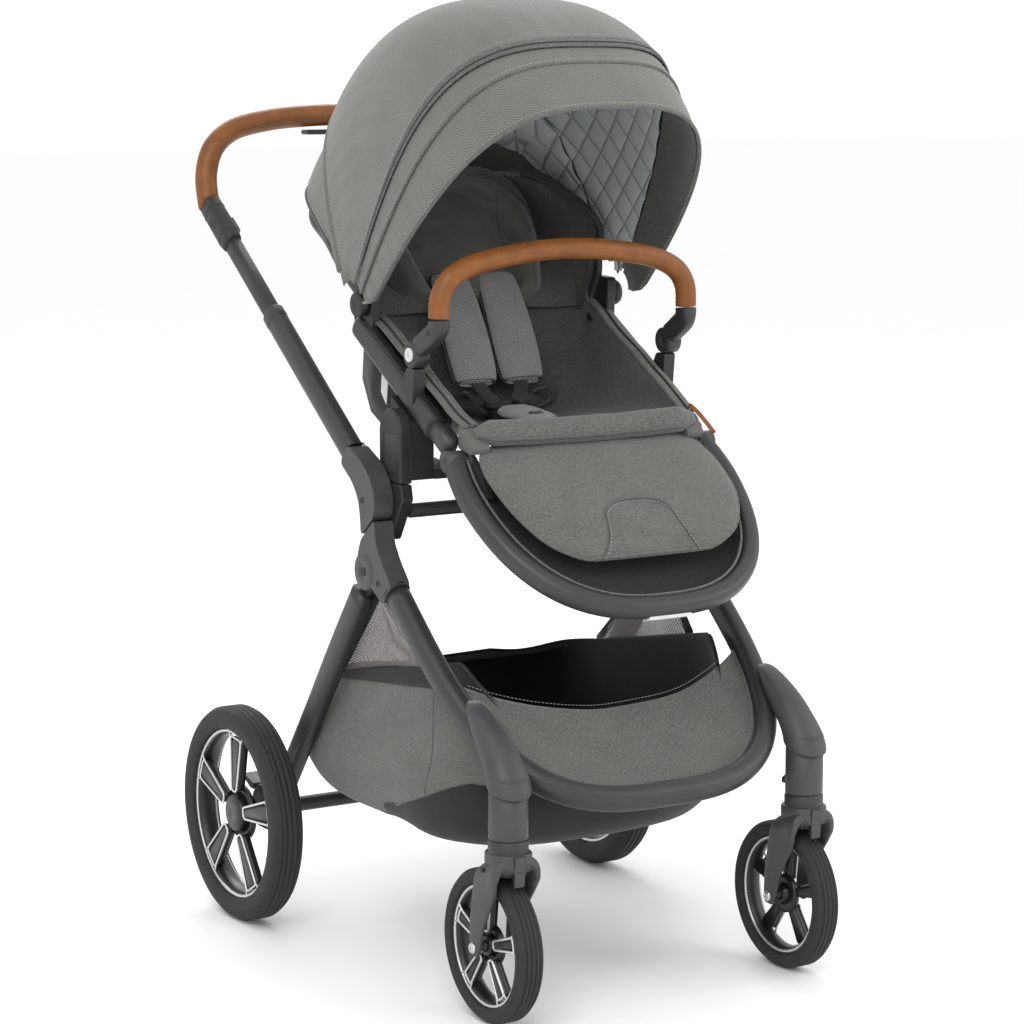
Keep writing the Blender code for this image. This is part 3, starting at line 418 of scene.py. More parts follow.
def rounded(half_a, half_b, power=2.6, count=36):
    """A superellipse as (a, b) pairs."""
    out = []
    for k in range(count):
        turn = 2.0 * math.pi * (k + 0.5) / count
        c, s = math.cos(turn), math.sin(turn)
        out.append((half_a * math.copysign(abs(c) ** (2 / power), c),
                    half_b * math.copysign(abs(s) ** (2 / power), s)))
    return out


def curve(points, per_span=8, closed=False):
    """A Catmull-Rom curve through the points."""
    pts = [Vector(p) for p in points]
    n = len(pts)
    out = []
    for i in range(n if closed else n - 1):
        near = [pts[(i + k) % n] if closed else pts[min(max(i + k, 0), n - 1)] for k in (-1, 0, 1,
                                                                                         2)]
        a, b, c, d = near
        for k in range(per_span):
            t = k / per_span
            out.append(0.5 * (2 * b + (c - a) * t + (2 * a - 5 * b + 4 * c - d) * t * t
                              + (3 * b - a - 3 * c + d) * t * t * t))
    if not closed:
        out.append(pts[-1])
    return out


def frames(path, normal, closed=False):
    """At each path point, (point, first section axis, second section axis)."""
    out = []
    n = len(path)
    for i, p in enumerate(path):
        before = path[i - 1] if i or closed else p
        after = path[(i + 1) % n] if i < n - 1 or closed else p
        along = (after - before).normalized()
        first = Vector(normal) - along * along.dot(Vector(normal))
        first.normalize()
        out.append((p, first, along.cross(first)))
    return out


def tube(name, path, section, normal, look, body, nodes=(), scales=None, round_ends=0.0,
         closed=False):
    """A section swept along a path, with softened ends."""
    path = [Vector(p) for p in path]
    places = frames(path, normal, closed)
    scales = scales or [1.0] * len(path)
    rows = []
    for (p, u, v), scale in zip(places, scales):
        rows.append([p + u * (a * scale) + v * (b * scale) for a, b in section])
    if round_ends and not closed:
        for end, inward in ((0, 1), (-1, -2)):
            p, u, v = places[end]
            out = (path[end] - path[inward]).normalized() * round_ends
            extra = []
            for depth, shrink in ((0.55, 0.10), (0.90, 0.40), (1.0, 0.85)):
                k = scales[end]
                size = max(max(abs(a) for a, _ in section), max(abs(b) for _, b in section)) * k
                f = 1.0 - round_ends * shrink / size
                extra.append([p + out * (depth - 1.0) + u * (a * k * f) + v * (b * k * f) for a,
                              b in section])
            if end == 0:
                rows[0] = [q - out for q in rows[0]]
                rows = extra[::-1] + rows
            else:
                rows[-1] = [q - out for q in rows[-1]]
                rows = rows + extra
    piece = skin(name, rows, wrap=True, loop=closed, caps=not closed)
    return finish_piece(piece, look, body, nodes)


def lathe(name, profile, centre, look, body, steps=96, axis="X", nodes=(), closed=True):
    """Turn an (along, radius) profile about an axis through the centre."""
    rows = []
    for k in range(steps):
        t = 2.0 * math.pi * k / steps
        c, s = math.cos(t), math.sin(t)
        if axis == "X":
            rows.append([Vector(centre) + Vector((a, r * s, r * c)) for a, r in profile])
        else:
            rows.append([Vector(centre) + Vector((r * c, r * s, a)) for a, r in profile])
    rows = [list(col) for col in zip(*rows)]
    if closed:
        piece = skin(name, rows, wrap=True, loop=True)
    else:
        piece = skin(name, rows, wrap=True, caps=True)
    return finish_piece(piece, look, body, nodes)


def fillet(outline, radius, steps=5):
    """A closed (y, z) outline with its corners rounded."""
    out = []
    n = len(outline)
    for k in range(n):
        a, b, c = (Vector(outline[(k + j) % n]) for j in (-1, 0, 1))
        before, after = (a - b), (c - b)
        reach = min(radius, before.length * 0.45, after.length * 0.45)
        start, end = b + before.normalized() * reach, b + after.normalized() * reach
        for j in range(steps + 1):
            t = j / steps
            out.append(tuple(start * (1 - t) ** 2 + b * (2 * t * (1 - t)) + end * t * t))
    return out


def plate(name, outline, x_low, x_high, look, body, side=1.0, bevel=0.003, nodes=()):
    """A (y, z) outline extruded along X, with rounded edges."""
    n = len(outline)
    verts = [Vector((side * x, y, z)) for x in (x_low, x_high) for y, z in outline]
    faces = [list(range(n)), list(range(2 * n - 1, n - 1, -1))]
    faces += [[k, n + k, n + (k + 1) % n, (k + 1) % n] for k in range(n)]
    piece = new_piece(name, verts, faces)
    bm = bmesh.new()
    bm.from_mesh(piece.data)
    bmesh.ops.recalc_face_normals(bm, faces=bm.faces)
    bm.to_mesh(piece.data)
    bm.free()
    soften(piece, bevel)
    return finish_piece(piece, look, body, nodes)


def soften(piece, width, segments=3, angle=32.0):
    """Rounded edges by a bevel with hardened normals."""
    made = piece.modifiers.new("Bevel", "BEVEL")
    made.width = width
    made.segments = segments
    made.limit_method = "ANGLE"
    made.angle_limit = math.radians(angle)
    made.harden_normals = True
    made.use_clamp_overlap = True
    return piece


def keep(node, look, bevel=0.0008):
    """A solid whose shape is right stays, with softened edges and a better material."""
    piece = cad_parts[node]
    piece.data.materials.clear()
    piece.data.materials.append(LOOKS[look])
    for face in piece.data.polygons:
        face.use_smooth = True
    soften(piece, bevel, 2)
    return piece


def thicken(piece, thickness, offset=-1.0):
    """Give a sheet its thickness."""
    made = piece.modifiers.new("Solidify", "SOLIDIFY")
    made.thickness = thickness
    made.offset = offset
    made.use_even_offset = False
    return piece


def cord_line(name, path, radius, look, body, closed=False, normal=(0, 0, 1)):
    """A thin round line, such as piping, a seam or an edge."""
    return tube(name, path, rounded(radius, radius, 2.0, 8), normal, look, body, closed=closed)


def stitches(name, path, step, length, radius, look, body):
    """A row of raised stitches along a path, as one piece."""
    path = [Vector(p) for p in path]
    total = [0.0]
    for a, b in zip(path, path[1:]):
        total.append(total[-1] + (b - a).length)

    def at(s):
        for i in range(len(path) - 1):
            if s <= total[i + 1]:
                span = max(total[i + 1] - total[i], 1e-9)
                return path[i].lerp(path[i + 1], (s - total[i]) / span)
        return path[-1]

    verts, faces = [], []
    s = step / 2
    while s + length < total[-1]:
        a, b = at(s), at(s + length)
        along = (b - a).normalized()
        first = along.orthogonal().normalized()
        second = along.cross(first)
        base = len(verts)
        for t, k in ((0.0, 0.4), (0.25, 1.0), (0.75, 1.0), (1.0, 0.4)):
            for j in range(5):
                turn = 2 * math.pi * j / 5
                verts.append(a.lerp(b, t) + (first * math.cos(turn) + second * math.sin(turn)) * radius * k)
        for i in range(3):
            for j in range(5):
                faces.append([base + i * 5 + j, base + i * 5 + (j + 1) % 5,
                              base + (i + 1) * 5 + (j + 1) % 5,
                              base + (i + 1) * 5 + j])
        faces.append([base + j for j in (4, 3, 2, 1, 0)])
        faces.append([base + 15 + j for j in range(5)])
        s += step
    return finish_piece(new_piece(name, verts, faces), look, body)


def mirror_path(half):
    """A half path that ends on the middle plane, with its mirror image."""
    half = [Vector(p) for p in half]
    return half + [Vector((-p.x, p.y, p.z)) for p in reversed(half[:-1])]


def wave(point, scale, amount, seed=0.0):
    """A smooth push for creases, the same in each run."""
    return noise.noise(Vector(point) * scale + Vector((seed, seed * 1.7, 0.0))) * amount


# ---------------------------------------------------------------- shared shapes
def tube_point(s, x=0.0, lift=0.0):
    """A point s along the handle tube's line, lifted square to it."""
    c, n = math.cos(TUBE_ANGLE), math.sin(TUBE_ANGLE)
    return Vector((x, TUBE_POINT.y + s * c - lift * n, TUBE_POINT.z + s * n + lift * c))


def rail_point(s, x=0.0, lift=0.0):
    """A point s down the seat rail from its top, lifted square to it."""
    c, n = math.cos(RAIL_SLOPE), math.sin(RAIL_SLOPE)
    return Vector((x, RAIL_TOP.y - s * c - lift * n, RAIL_TOP.z - s * n + lift * c))


def slope_point(x, s, lift=0.0, start=LOOP_START):
    """A point in the 40 degree plane of the front loop and the footrest, s down it from its upper end."""
    c, n = math.cos(SLOPE), math.sin(SLOPE)
    return Vector((x, start.y - s * c - lift * n, start.z - s * n + lift * c))


def loop_half(start, half_width, straight, reach, steps=36, power=3.0, pinch=0.0):
    """Half of a U-shaped loop in the 40 degree plane, from its open end to the middle of the front."""
    points = [Vector((half_width - pinch, start.y, start.z))]
    for k in range(steps + 1):
        turn = 0.5 * math.pi * k / steps
        s = straight + reach * math.sin(turn) ** (2 / power)
        x = half_width * math.cos(turn) ** (2 / power) - pinch * max(0.0, 1.0 - s / 0.07) ** 2
        points.append(slope_point(x, s, 0.0, start))
    return even(points, 0.006)


def even(path, step):
    """The same path with its points about a step apart."""
    out, carry = [path[0]], 0.0
    for a, b in zip(path, path[1:]):
        length = (b - a).length
        s = step - carry
        while s < length:
            out.append(a.lerp(b, s / length))
            s += step
        carry = length - (s - step)
    if (out[-1] - path[-1]).length > step * 0.4:
        out.append(path[-1])
    else:
        out[-1] = path[-1]
    return out


# ---------------------------------------------------------------- chassis
def screw(name, centre, side, body, radius=0.0042):
    """A recessed socket screw in an outer face."""
    ring = [(0.0, radius), (side * 0.0007, radius * 0.95), (side * 0.0007, radius * 0.6),
            (-side * 0.0012, radius * 0.55),
            (-side * 0.0012, 0.0002), (-side * 0.0020, 0.0002), (-side * 0.0020, radius)]
    return lathe(name, ring, centre, "black", body, 24)


def build_chassis():
    """The front loop, crowns, caster housings and the small hard parts between them."""
    half = loop_half(LOOP_START, 0.2222, 0.035, 0.3025)
    path = mirror_path([half[0] + Vector((0, 0.0060, 0.0050))] + half[1:])
    normal = (0, -math.sin(SLOPE), math.cos(SLOPE))
    tube("front_tube", path, rounded(0.0162, 0.0142, 2.4, 40), normal, "tube", "chassis",
         ["front_frame"])
    inner = [Vector((p.x * 0.945, p.y, p.z)) + Vector((0, 0.0110 * math.cos(SLOPE),
                                                       0.0110 * math.sin(SLOPE)))
             * max(0.0, 1.0 - abs(p.x) / 0.2222) ** 0.4 for p in half if p.z < 0.4000]
    cord_line("front_tube_groove", mirror_path([p + Vector(normal) * 0.0108 for p in inner]),
              0.0010, "black", "chassis",
              normal=normal)
    keep("cross_bar", "dark", 0.002)
    for tag, side in SIDES:
        keep(f"seat_socket_{tag}", "black", 0.002)
        keep(f"swivel_lock_{tag}", "black", 0.001)
        build_crown(tag, side)
        build_caster_housing(tag, side)


def build_crown(tag, side):
    """The forked casting under the hub, with its ring steps, seam and screws."""
    outline = [(-0.0975, 0.5740), (-0.0620, 0.5445), (-0.0540, 0.5250), (-0.0500, 0.5000),
               (-0.0620, 0.4870),
               (-0.0880, 0.4880), (-0.1180, 0.4700), (-0.1405, 0.4965), (-0.1160, 0.5230),
               (-0.1010, 0.5450)]
    plate(f"crown_{tag}", fillet(outline, 0.008), 0.2095, 0.2372, "shell", "chassis", side, 0.0050,
          [f"leg_crown_{tag}"])
    cheek = [(side * 0.2238, 0.001), (side * 0.2238, 0.0240), (side * 0.2364, 0.0240),
             (side * 0.2380, 0.0225),
             (side * 0.2380, 0.001)]
    lathe(f"crown_cheek_{tag}", cheek, (0, REAR_LEG_AXIS.y, REAR_LEG_AXIS.z), "shell", "chassis",
          64)
    screw(f"crown_screw_{tag}", (side * 0.2374, -0.1060, 0.4950), side, "chassis")
    screw(f"pivot_screw_{tag}", (side * 0.2382, REAR_LEG_AXIS.y, REAR_LEG_AXIS.z), side, "chassis",
          0.0050)
    for k, back in enumerate((0.0, 0.0042)):
        centre = Vector((side * FRAME_X, -0.1290, 0.4845)) + Vector((0, math.cos(SLOPE),
                                                                     math.sin(SLOPE))) * back
        ring = [centre + Vector((a, 0, 0)) + Vector((0, -math.sin(SLOPE), math.cos(SLOPE))) * b
                for a, b in rounded(0.0150, 0.0170, 2.6, 40)]
        cord_line(f"collar_ring_{k}_{tag}", ring, 0.0009, "black", "chassis", True,
                  (0, 0.766, 0.643))


def build_caster_housing(tag, side):
    """The upright socket of the caster with its hood flowing up onto the front tube."""
    x, y = side * CASTER.x, CASTER.y
    barrel = [(CASTER.z + GAP, 0.001), (CASTER.z + GAP, 0.0228), (CASTER.z + 0.0012, 0.0235),
              (0.3060, 0.0235),
              (0.3060, 0.001)]
    lathe(f"caster_barrel_{tag}", barrel, (x, y, 0), "shell", "chassis", 72, "Z",
          [f"caster_housing_{tag}"])
    stations = ((y - 0.002, 0.2900, 0.0250, 0.0250, 0.30),
                (y - 0.001, 0.2925, 0.0262, 0.0262, 0.30),
                (y + 0.001, 0.3000, 0.0262, 0.0265, 0.30),
                (y + 0.008, 0.3130, 0.0250, 0.0285, 0.25),
                (y + 0.024, 0.3300, 0.0225, 0.0300, 0.15),
                (y + 0.043, 0.3480, 0.0200, 0.0270, 0.05),
                (y + 0.062, 0.3640, 0.0165, 0.0200, 0.0), (y + 0.078, 0.3760, 0.0120, 0.0120, 0.0),
                (y + 0.084, 0.3800, 0.0070, 0.0060, 0.0))
    rows = []
    for cy, cz, rx, ry, tilt in stations:
        centre = Vector((x - side * (cz - 0.29) * 0.030, cy, cz))
        rows.append([centre + Vector((a, b, b * tilt)) for a, b in rounded(rx, ry, 2.15, 48)])
    rows = [list(c) for c in zip(*[curve(col, 3) for col in zip(*rows)])]
    finish_piece(skin(f"caster_hood_{tag}", rows, wrap=True, caps=True), "shell", "chassis")
    lathe(f"caster_bearing_{tag}",
          [(0.2250, 0.001), (0.2250, 0.0200), (0.2330, 0.0200), (0.2330, 0.001)], (x, y, 0),
          "black", "chassis", 48, "Z")


# ---------------------------------------------------------------- wheels
def tyre_outline(half, radius, inner):
    """A tyre's section with a crowned tread, two grooves and round shoulders."""
    points = [(-half * 0.55, inner), (-half * 0.86, inner + 0.0015),
              (-half * 0.97, inner + (radius - inner) * 0.28),
              (-half, inner + (radius - inner) * 0.52), (-half * 0.95, radius - 0.0085),
              (-half * 0.82, radius - 0.0042),
              (-half * 0.60, radius - 0.0016)]
    left = [tuple(p)[:2] for p in curve([(a, r, 0) for a, r in points], 4)]
    groove = []
    for k in (-1.0, -0.34):
        middle = half * 0.50 * k
        groove += [(middle - 0.0011, radius - 0.0006), (middle - 0.0007, radius - 0.0022),
                   (middle + 0.0007, radius - 0.0022), (middle + 0.0011, radius - 0.0005)]
    side = left + groove
    return side + [(-a, r) for a, r in reversed(side)]


def spoke_outline(start, end, inner_half, outer_half):
    """A tapered spoke in its own plane, as (along, across) pairs, with rounded ends."""
    corners = [(start, -inner_half), (end, -outer_half), (end, outer_half), (start, inner_half)]
    return fillet(corners, inner_half * 0.9, 6)


def spoke_place(centre, angle, x):
    """A function that puts (along, across) onto the wheel's face."""
    out = Vector((0, math.sin(angle), math.cos(angle)))
    across = Vector((0, math.cos(angle), -math.sin(angle)))
    return lambda r, b, push=0.0: Vector(centre) + out * r + across * b + Vector((x + push, 0, 0))


def build_spokes(name, centre, side, face, body, start, end, inner_half, outer_half, phase,
                 open_middle):
    """Five tapered spokes, each a dark body with a silver outline round a recessed inlay."""
    for k in range(5):
        place = spoke_place(centre, phase + 2 * math.pi * k / 5, side * face)
        edge = spoke_outline(start, end, inner_half, outer_half)
        back = [place(r, b, -side * 0.012) for r, b in edge]
        front = [place(r, b, -side * 0.001) for r, b in edge]
        finish_piece(skin(f"{name}_body_{k}", [back, front], wrap=True, caps=True), "rim", body)
        line = [place(r, b) for r, b in edge]
        tube(f"{name}_edge_{k}", line, rounded(0.0013, 0.0016, 2.6, 10), (1, 0, 0), "silver", body,
             closed=True)
        shrink = 0.55 if open_middle else 0.60
        middle = (start + end) / 2
        inlay = [(middle + (r - middle) * 0.90, b * shrink) for r, b in edge]
        low = [place(r, b, -side * 0.0012) for r, b in inlay]
        high = [place(r, b, side * 0.0002) for r, b in inlay]
        piece = skin(f"{name}_inlay_{k}", [low, high], wrap=True, caps=True)
        finish_piece(piece, "rim" if open_middle else "inlay", body)
        for flare in (-1, 1):
            corner = [place(end - 0.004, flare * outer_half),
                      place(end + 0.004, flare * (outer_half + 0.0035)),
                      place(end + 0.0055, flare * (outer_half + 0.0090))]
            cord_line(f"{name}_flare_{k}_{'a' if flare < 0 else 'b'}", curve(corner, 4), 0.0013,
                      "silver", body,
                      normal=(1, 0, 0))


def build_wheel(prefix, tag, side, centre, half, radius, inner, hub, phase):
    """A tyre, a dished rim with its silver ring, five spokes and a hub cap."""
    body = f"{prefix}_wheel_{tag}"
    lathe(f"{prefix}_tyre_skin_{tag}", tyre_outline(half, radius, inner), centre, "rubber", body,
          160,
          nodes=[f"{prefix}_tyre_{tag}"])
    rim_half = half * 0.62
    barrel = [(-rim_half, inner + 0.0004), (-rim_half, inner - 0.0030),
              (-rim_half * 0.75, inner - 0.0060),
              (0.0, inner - 0.0085), (rim_half * 0.75, inner - 0.0060), (rim_half, inner - 0.0030),
              (rim_half, inner + 0.0004)]
    lathe(f"{prefix}_rim_barrel_{tag}", barrel, centre, "rim", body, 128,
          nodes=[f"{prefix}_rim_{tag}"])
    face = half * 0.66
    ring = [(face - 0.0022, inner + 0.0006), (face, inner - 0.0006), (face, inner - 0.0034),
            (face - 0.0022, inner - 0.0044)]
    for way in (side, -side):
        lathe(f"{prefix}_ring_{'out' if way == side else 'in'}_{tag}",
              [(way * a, r) for a, r in ring], centre, "silver",
              body, 160)
    thin = prefix == "front"
    spoke = (hub + 0.006, inner - 0.0085, 0.0050 if thin else 0.0072, 0.0088 if thin else 0.0155)
    build_spokes(f"{prefix}_spoke_{tag}", centre, side, face - 0.0012, body, *spoke, phase, thin)
    dish = [(-side * half * 0.62, 0.0066), (-side * half * 0.62, hub * 0.8), (0.0, hub * 0.95),
            (side * face * 0.55, hub),
            (side * face * 0.86, hub * 0.98), (side * face * 0.98, hub * 0.86),
            (side * face * 0.98, 0.0066)]
    lathe(f"{prefix}_boss_{tag}", dish, centre, "rim", body, 72)
    web = [(-0.0030, hub * 0.9), (-0.0030, hub + 0.012), (0.0030, hub + 0.012), (0.0030, hub * 0.9)]
    lathe(f"{prefix}_boss_web_{tag}", web, centre, "rim", body, 72)
    if not thin:
        cap = [(side * face * 0.90, 0.0004), (side * face * 0.90, hub * 0.74),
               (side * (face + 0.0008), hub * 0.70),
               (side * (face + 0.0016), hub * 0.45), (side * (face + 0.0018), 0.0004)]
        lathe(f"{prefix}_cap_{tag}", cap, centre, "inlay", body, 64)


def build_fork(tag, side):
    """The caster fork: collar, arched shell with two arms, inset strip, screws and the axle bolt."""
    body = f"caster_{tag}"
    x = side * CASTER.x
    axle = Vector((x, CASTER.y + CASTER_TRAIL, FRONT_RADIUS))
    collar = [(0.1900, 0.001), (0.1900, 0.0225), (0.2030, 0.0238), (0.2285, 0.0243),
              (CASTER.z - GAP, 0.0232),
              (CASTER.z - GAP, 0.001)]
    lathe(f"fork_collar_{tag}", collar, (x, CASTER.y, 0), "dark", body, 72, "Z",
          [f"front_fork_{tag}"])
    half = [(0.0248, axle.y + 0.0005, 0.0850), (0.0250, axle.y - 0.001, 0.0960),
            (0.0256, -0.3530, 0.1250),
            (0.0262, -0.3640, 0.1550), (0.0262, -0.3735, 0.1780), (0.0240, -0.3780, 0.1900),
            (0.0170, -0.3805, 0.1985),
            (0.0, -0.3815, 0.2010)]
    wide = [0.0082, 0.0115, 0.0150, 0.0200, 0.0245, 0.0255, 0.0258, 0.0260]
    thick = [0.0030, 0.0033, 0.0036, 0.0040, 0.0048, 0.0060, 0.0085, 0.0100]
    points = [Vector(p) for p in half]
    path = curve(mirror_path([Vector((p.x, p.y, p.z)) for p in points]), 5)
    ease = curve([(w, t, 0) for w, t in zip(wide + wide[-2::-1], thick + thick[-2::-1])], 5)
    rows = []
    for (p, u, v), size in zip(frames(path, (0, 1, -0.35)), ease):
        rows.append([p + Vector((x, 0, 0)) + u * a + v * b for a,
                     b in rounded(size.x, size.y, 3.0, 40)])
    finish_piece(skin(f"fork_shell_{tag}", rows, wrap=True, caps=True), "shell", body)
    neck = []
    for z, r, push in ((0.1960, 0.0262, -0.0010), (0.2080, 0.0264, 0.0), (0.2150, 0.0262, 0.0),
                       (0.2168, 0.0250, 0.0)):
        neck.append([Vector((x + a, CASTER.y + push + b, z)) for a, b in rounded(r, r, 2.6, 48)])
    finish_piece(skin(f"fork_neck_{tag}", neck, wrap=True, caps=True), "shell", body)
    strip = [(-0.0082, 0.2160), (0.0082, 0.2160), (0.0074, 0.1780), (-0.0074, 0.1780)]
    for k, push in enumerate((0.0, 0.0008)):
        shape = fillet([(a * (1.0 - 0.12 * k),
                         z - (0.0007 if k else 0) * (1 if z > 0.2 else -1)) for a, z in strip],
                         0.002)
        rows = [[Vector((x + a, CASTER.y - 0.0258 - d - push + (0.2000 - z) * 0.06, z)) for a,
                 z in shape]
                for d in (-0.004, 0.0006)]
        piece = skin(f"fork_strip_{'edge' if k == 0 else 'face'}_{tag}", rows, wrap=True, caps=True)
        finish_piece(soften(piece, 0.0003, 2), "black" if k == 0 else "shell", body)
    screw(f"fork_screw_{tag}", (x + side * 0.0290, -0.3700, 0.1950), side, body, 0.0030)
    for way in (-1, 1):
        dome = [(0.0, 0.0004), (0.0, 0.0068), (way * 0.0016, 0.0068), (way * 0.0034, 0.0050),
                (way * 0.0044, 0.0004)]
        lathe(f"axle_bolt_{'a' if way < 0 else 'b'}_{tag}", dome,
              axle + Vector((way * 0.0278, 0, 0)), "chrome", body, 40)
    shaft = [(-0.028, 0.0004), (-0.028, 0.0058), (0.028, 0.0058), (0.028, 0.0004)]
    lathe(f"axle_shaft_{tag}", shaft, axle, "black", body, 32)


def build_running_gear():
    """Rear legs, axle, brake and all four wheels."""
    keep("rear_axle", "dark", 0.001)
    keep("brake_pedal", "inlay", 0.0015)
    for tag, side in SIDES:
        build_rear_leg(tag, side)
        build_fork(tag, side)
        rear = Vector((side * REAR_WHEEL_X, REAR_AXLE.y, REAR_AXLE.z))
        front = Vector((side * CASTER.x, CASTER.y + CASTER_TRAIL, FRONT_RADIUS))
        build_wheel("rear", tag, side, rear, REAR_WHEEL_HALF, REAR_RADIUS, REAR_INNER, 0.0250,
                    math.radians(-6))
        build_wheel("front", tag, side, front, FRONT_HALF, FRONT_RADIUS, FRONT_INNER, 0.0125,
                    math.radians(-3))


def build_rear_leg(tag, side):
    """A tapering oval leg from its pivot disc down to the brake housing."""
    top, foot = Vector((0, -0.0430, 0.4740)), Vector((0, REAR_AXLE.y - 0.010, REAR_AXLE.z + 0.018))
    along = (foot - top).normalized()
    across = Vector((0, -along.z, along.y))
    rows = []
    for k in range(33):
        t = k / 32
        wide = 0.0155 + 0.0015 * math.sin(math.pi * min(t * 2, 1.0)) - 0.0020 * t
        middle = top + (foot - top) * t + Vector((side * 0.2232, 0, 0))
        rows.append([middle + Vector((a, 0, 0)) + across * b for a,
                     b in rounded(0.0128, wide, 2.8, 40)])
    finish_piece(skin(f"rear_leg_tube_{tag}", rows, wrap=True, caps=True), "tube", "rear_legs",
                 [f"rear_leg_{tag}"])
    disc = [(side * 0.2104, 0.001), (side * 0.2104, 0.0250), (side * 0.2116, 0.0262),
            (side * 0.2220, 0.0262),
            (side * 0.2232, 0.0250), (side * 0.2232, 0.001)]
    lathe(f"rear_leg_disc_{tag}", disc, (0, REAR_LEG_AXIS.y, REAR_LEG_AXIS.z), "dark", "rear_legs",
          72)
    neck = [(-0.0660, 0.4860), (-0.0440, 0.5020), (-0.0270, 0.4760), (-0.0460, 0.4620)]
    plate(f"rear_leg_neck_{tag}", neck, 0.2104, 0.2225, "tube", "rear_legs", side, 0.002)
    box = [(0.1740, 0.1330), (0.1860, 0.1180), (0.2190, 0.1180), (0.2310, 0.1330),
           (0.2310, 0.1600), (0.2160, 0.1760),
           (0.1860, 0.1760), (0.1740, 0.1600)]
    plate(f"brake_housing_{tag}", fillet(box, 0.006), 0.2100, 0.2480, "black", "rear_legs", side,
          0.0030)
    stub = [(side * 0.2470, 0.0004), (side * 0.2470, 0.0050), (side * 0.2740, 0.0050),
            (side * 0.2740, 0.0004)]
    lathe(f"wheel_stub_{tag}", stub, (0, REAR_AXLE.y, REAR_AXLE.z), "chrome", "rear_legs", 32)


# ---------------------------------------------------------------- handle
def build_hub(tag, side):
    """The upper hub shell, bent from its neck into the handle tube's line."""
    low, high = tube_point(-0.118, 0.0, -0.0150), tube_point(-0.118, 0.0, 0.0155)
    outline = [(-0.0975, 0.5775), (-0.0625, 0.5480), (-0.0610, 0.5720), (-0.0560, 0.5950),
               (-0.0400, 0.6150),
               (low.y, low.z), (high.y, high.z), (-0.0700, 0.6400), (-0.0900, 0.6210),
               (-0.0990, 0.6000)]
    plate(f"hub_shell_{tag}", fillet(outline, 0.010), 0.2095, 0.2372, "shell", "handle_arms", side,
          0.0060,
          [f"hub_{tag}"])
    screw(f"hub_screw_{tag}", (side * 0.2374, -0.0670, 0.5940), side, "handle_arms")
    ring = [tube_point(-0.1180, side * FRAME_X + a, b) for a, b in rounded(0.0137, 0.0168, 3.0, 40)]
    cord_line(f"hub_ring_{tag}", ring, 0.0010, "black", "handle_arms", True, (0, 0.811, 0.585))


def build_handle():
    """Hubs, telescopic tubes, joints and the leather grip."""
    keep("fold_trigger", "black", 0.0015)
    for tag, side in SIDES:
        x = side * FRAME_X
        build_hub(tag, side)
        outer = [tube_point(s, x) for s in [-0.1172 + (COLLAR_S + 0.1172) * k / 20 for k in range(21)]]
        tube(f"outer_sleeve_{tag}", outer, rounded(FRAME_HALF, 0.0155, 2.8, 40), (1, 0, 0), "tube",
             "handle_arms",
             [f"outer_tube_{tag}"], round_ends=0.0012)
        collar = [tube_point(s, x) for s in (COLLAR_S - 0.0190, COLLAR_S - 0.0180,
                                             COLLAR_S - 0.0010, COLLAR_S + 0.0004)]
        tube(f"sleeve_collar_{tag}", collar, rounded(FRAME_HALF + 0.0004, 0.0159, 2.8, 40),
             (1, 0, 0), "dark",
             "handle_arms", scales=[0.985, 1.0, 1.0, 0.96])
        inner = [tube_point(s, x) for s in (0.0200, 0.12, 0.2, BLOCK_START_S - GAP)]
        tube(f"inner_sleeve_{tag}", inner, rounded(FRAME_HALF - 0.0029, 0.0126, 3.0, 36),
             (1, 0, 0), "black",
             "handle_bar", [f"inner_tube_{tag}"])
        stops = (BLOCK_START_S, BLOCK_START_S + 0.004, BLOCK_START_S + 0.012, 0.345,
                 BLOCK_END_S - 0.002, BLOCK_END_S)
        tube(f"grip_joint_{tag}", [tube_point(s, x) for s in stops],
             rounded(0.0127, 0.0160, 3.2, 40), (1, 0, 0), "black",
             "handle_bar", [f"handle_joint_{tag}"], scales=[0.86, 0.93, 1.0, 1.0, 0.98, 0.95])
        for s in (0.3130, 0.3640):
            ring = [tube_point(s, x + a, b) for a, b in rounded(0.0127, 0.0160, 3.2, 40)]
            cord_line(f"joint_line_{'low' if s < 0.34 else 'high'}_{tag}", ring, 0.0005, "dark",
                      "handle_bar", True,
                      (0, 0.811, 0.585))
        hole = [tube_point(0.3400 + a, x + side * 0.0127, b) for a,
                b in rounded(0.0075, 0.0040, 2.0, 24)]
        cord_line(f"joint_hole_{tag}", hole, 0.0009, "dark", "handle_bar", True, (1, 0, 0))
        keep(f"height_button_{tag}", "inlay", 0.001)
    start = tube_point(BLOCK_END_S + 0.0020, -FRAME_X)
    lean = tube_point(BLOCK_END_S + 0.0080, -FRAME_X)
    half = [start] + curve([lean, (-0.2190, 0.4045, 0.9790), (-0.2040, 0.4120, 1.0150),
                            (-0.1700, 0.4190, 1.0390),
                            (-0.1150, 0.4240, 1.0510), (-0.0550, 0.4255, 1.0560),
                            (0.0, 0.4255, 1.0575)], 12)
    path = mirror_path(half)
    tube("grip_leather", path, rounded(0.0148, 0.0148, 2.0, 40), (0, 0.97, -0.24), "grip",
         "handle_bar",
         ["handle_grip"])
    seam_lines("grip", path, 0.0148, (0, 0.97, -0.24), math.radians(215), "handle_bar")
    for tag, side in SIDES:
        end = tube_point(BLOCK_END_S + 0.0042, side * FRAME_X)
        ring = [end + Vector((a, 0, 0)) + Vector((0, -0.585, 0.811)) * b for a,
                b in rounded(0.0150, 0.0150, 2.0, 32)]
        cord_line(f"grip_welt_{tag}", ring, 0.0010, "grip", "handle_bar", True, (0, 0.811, 0.585))


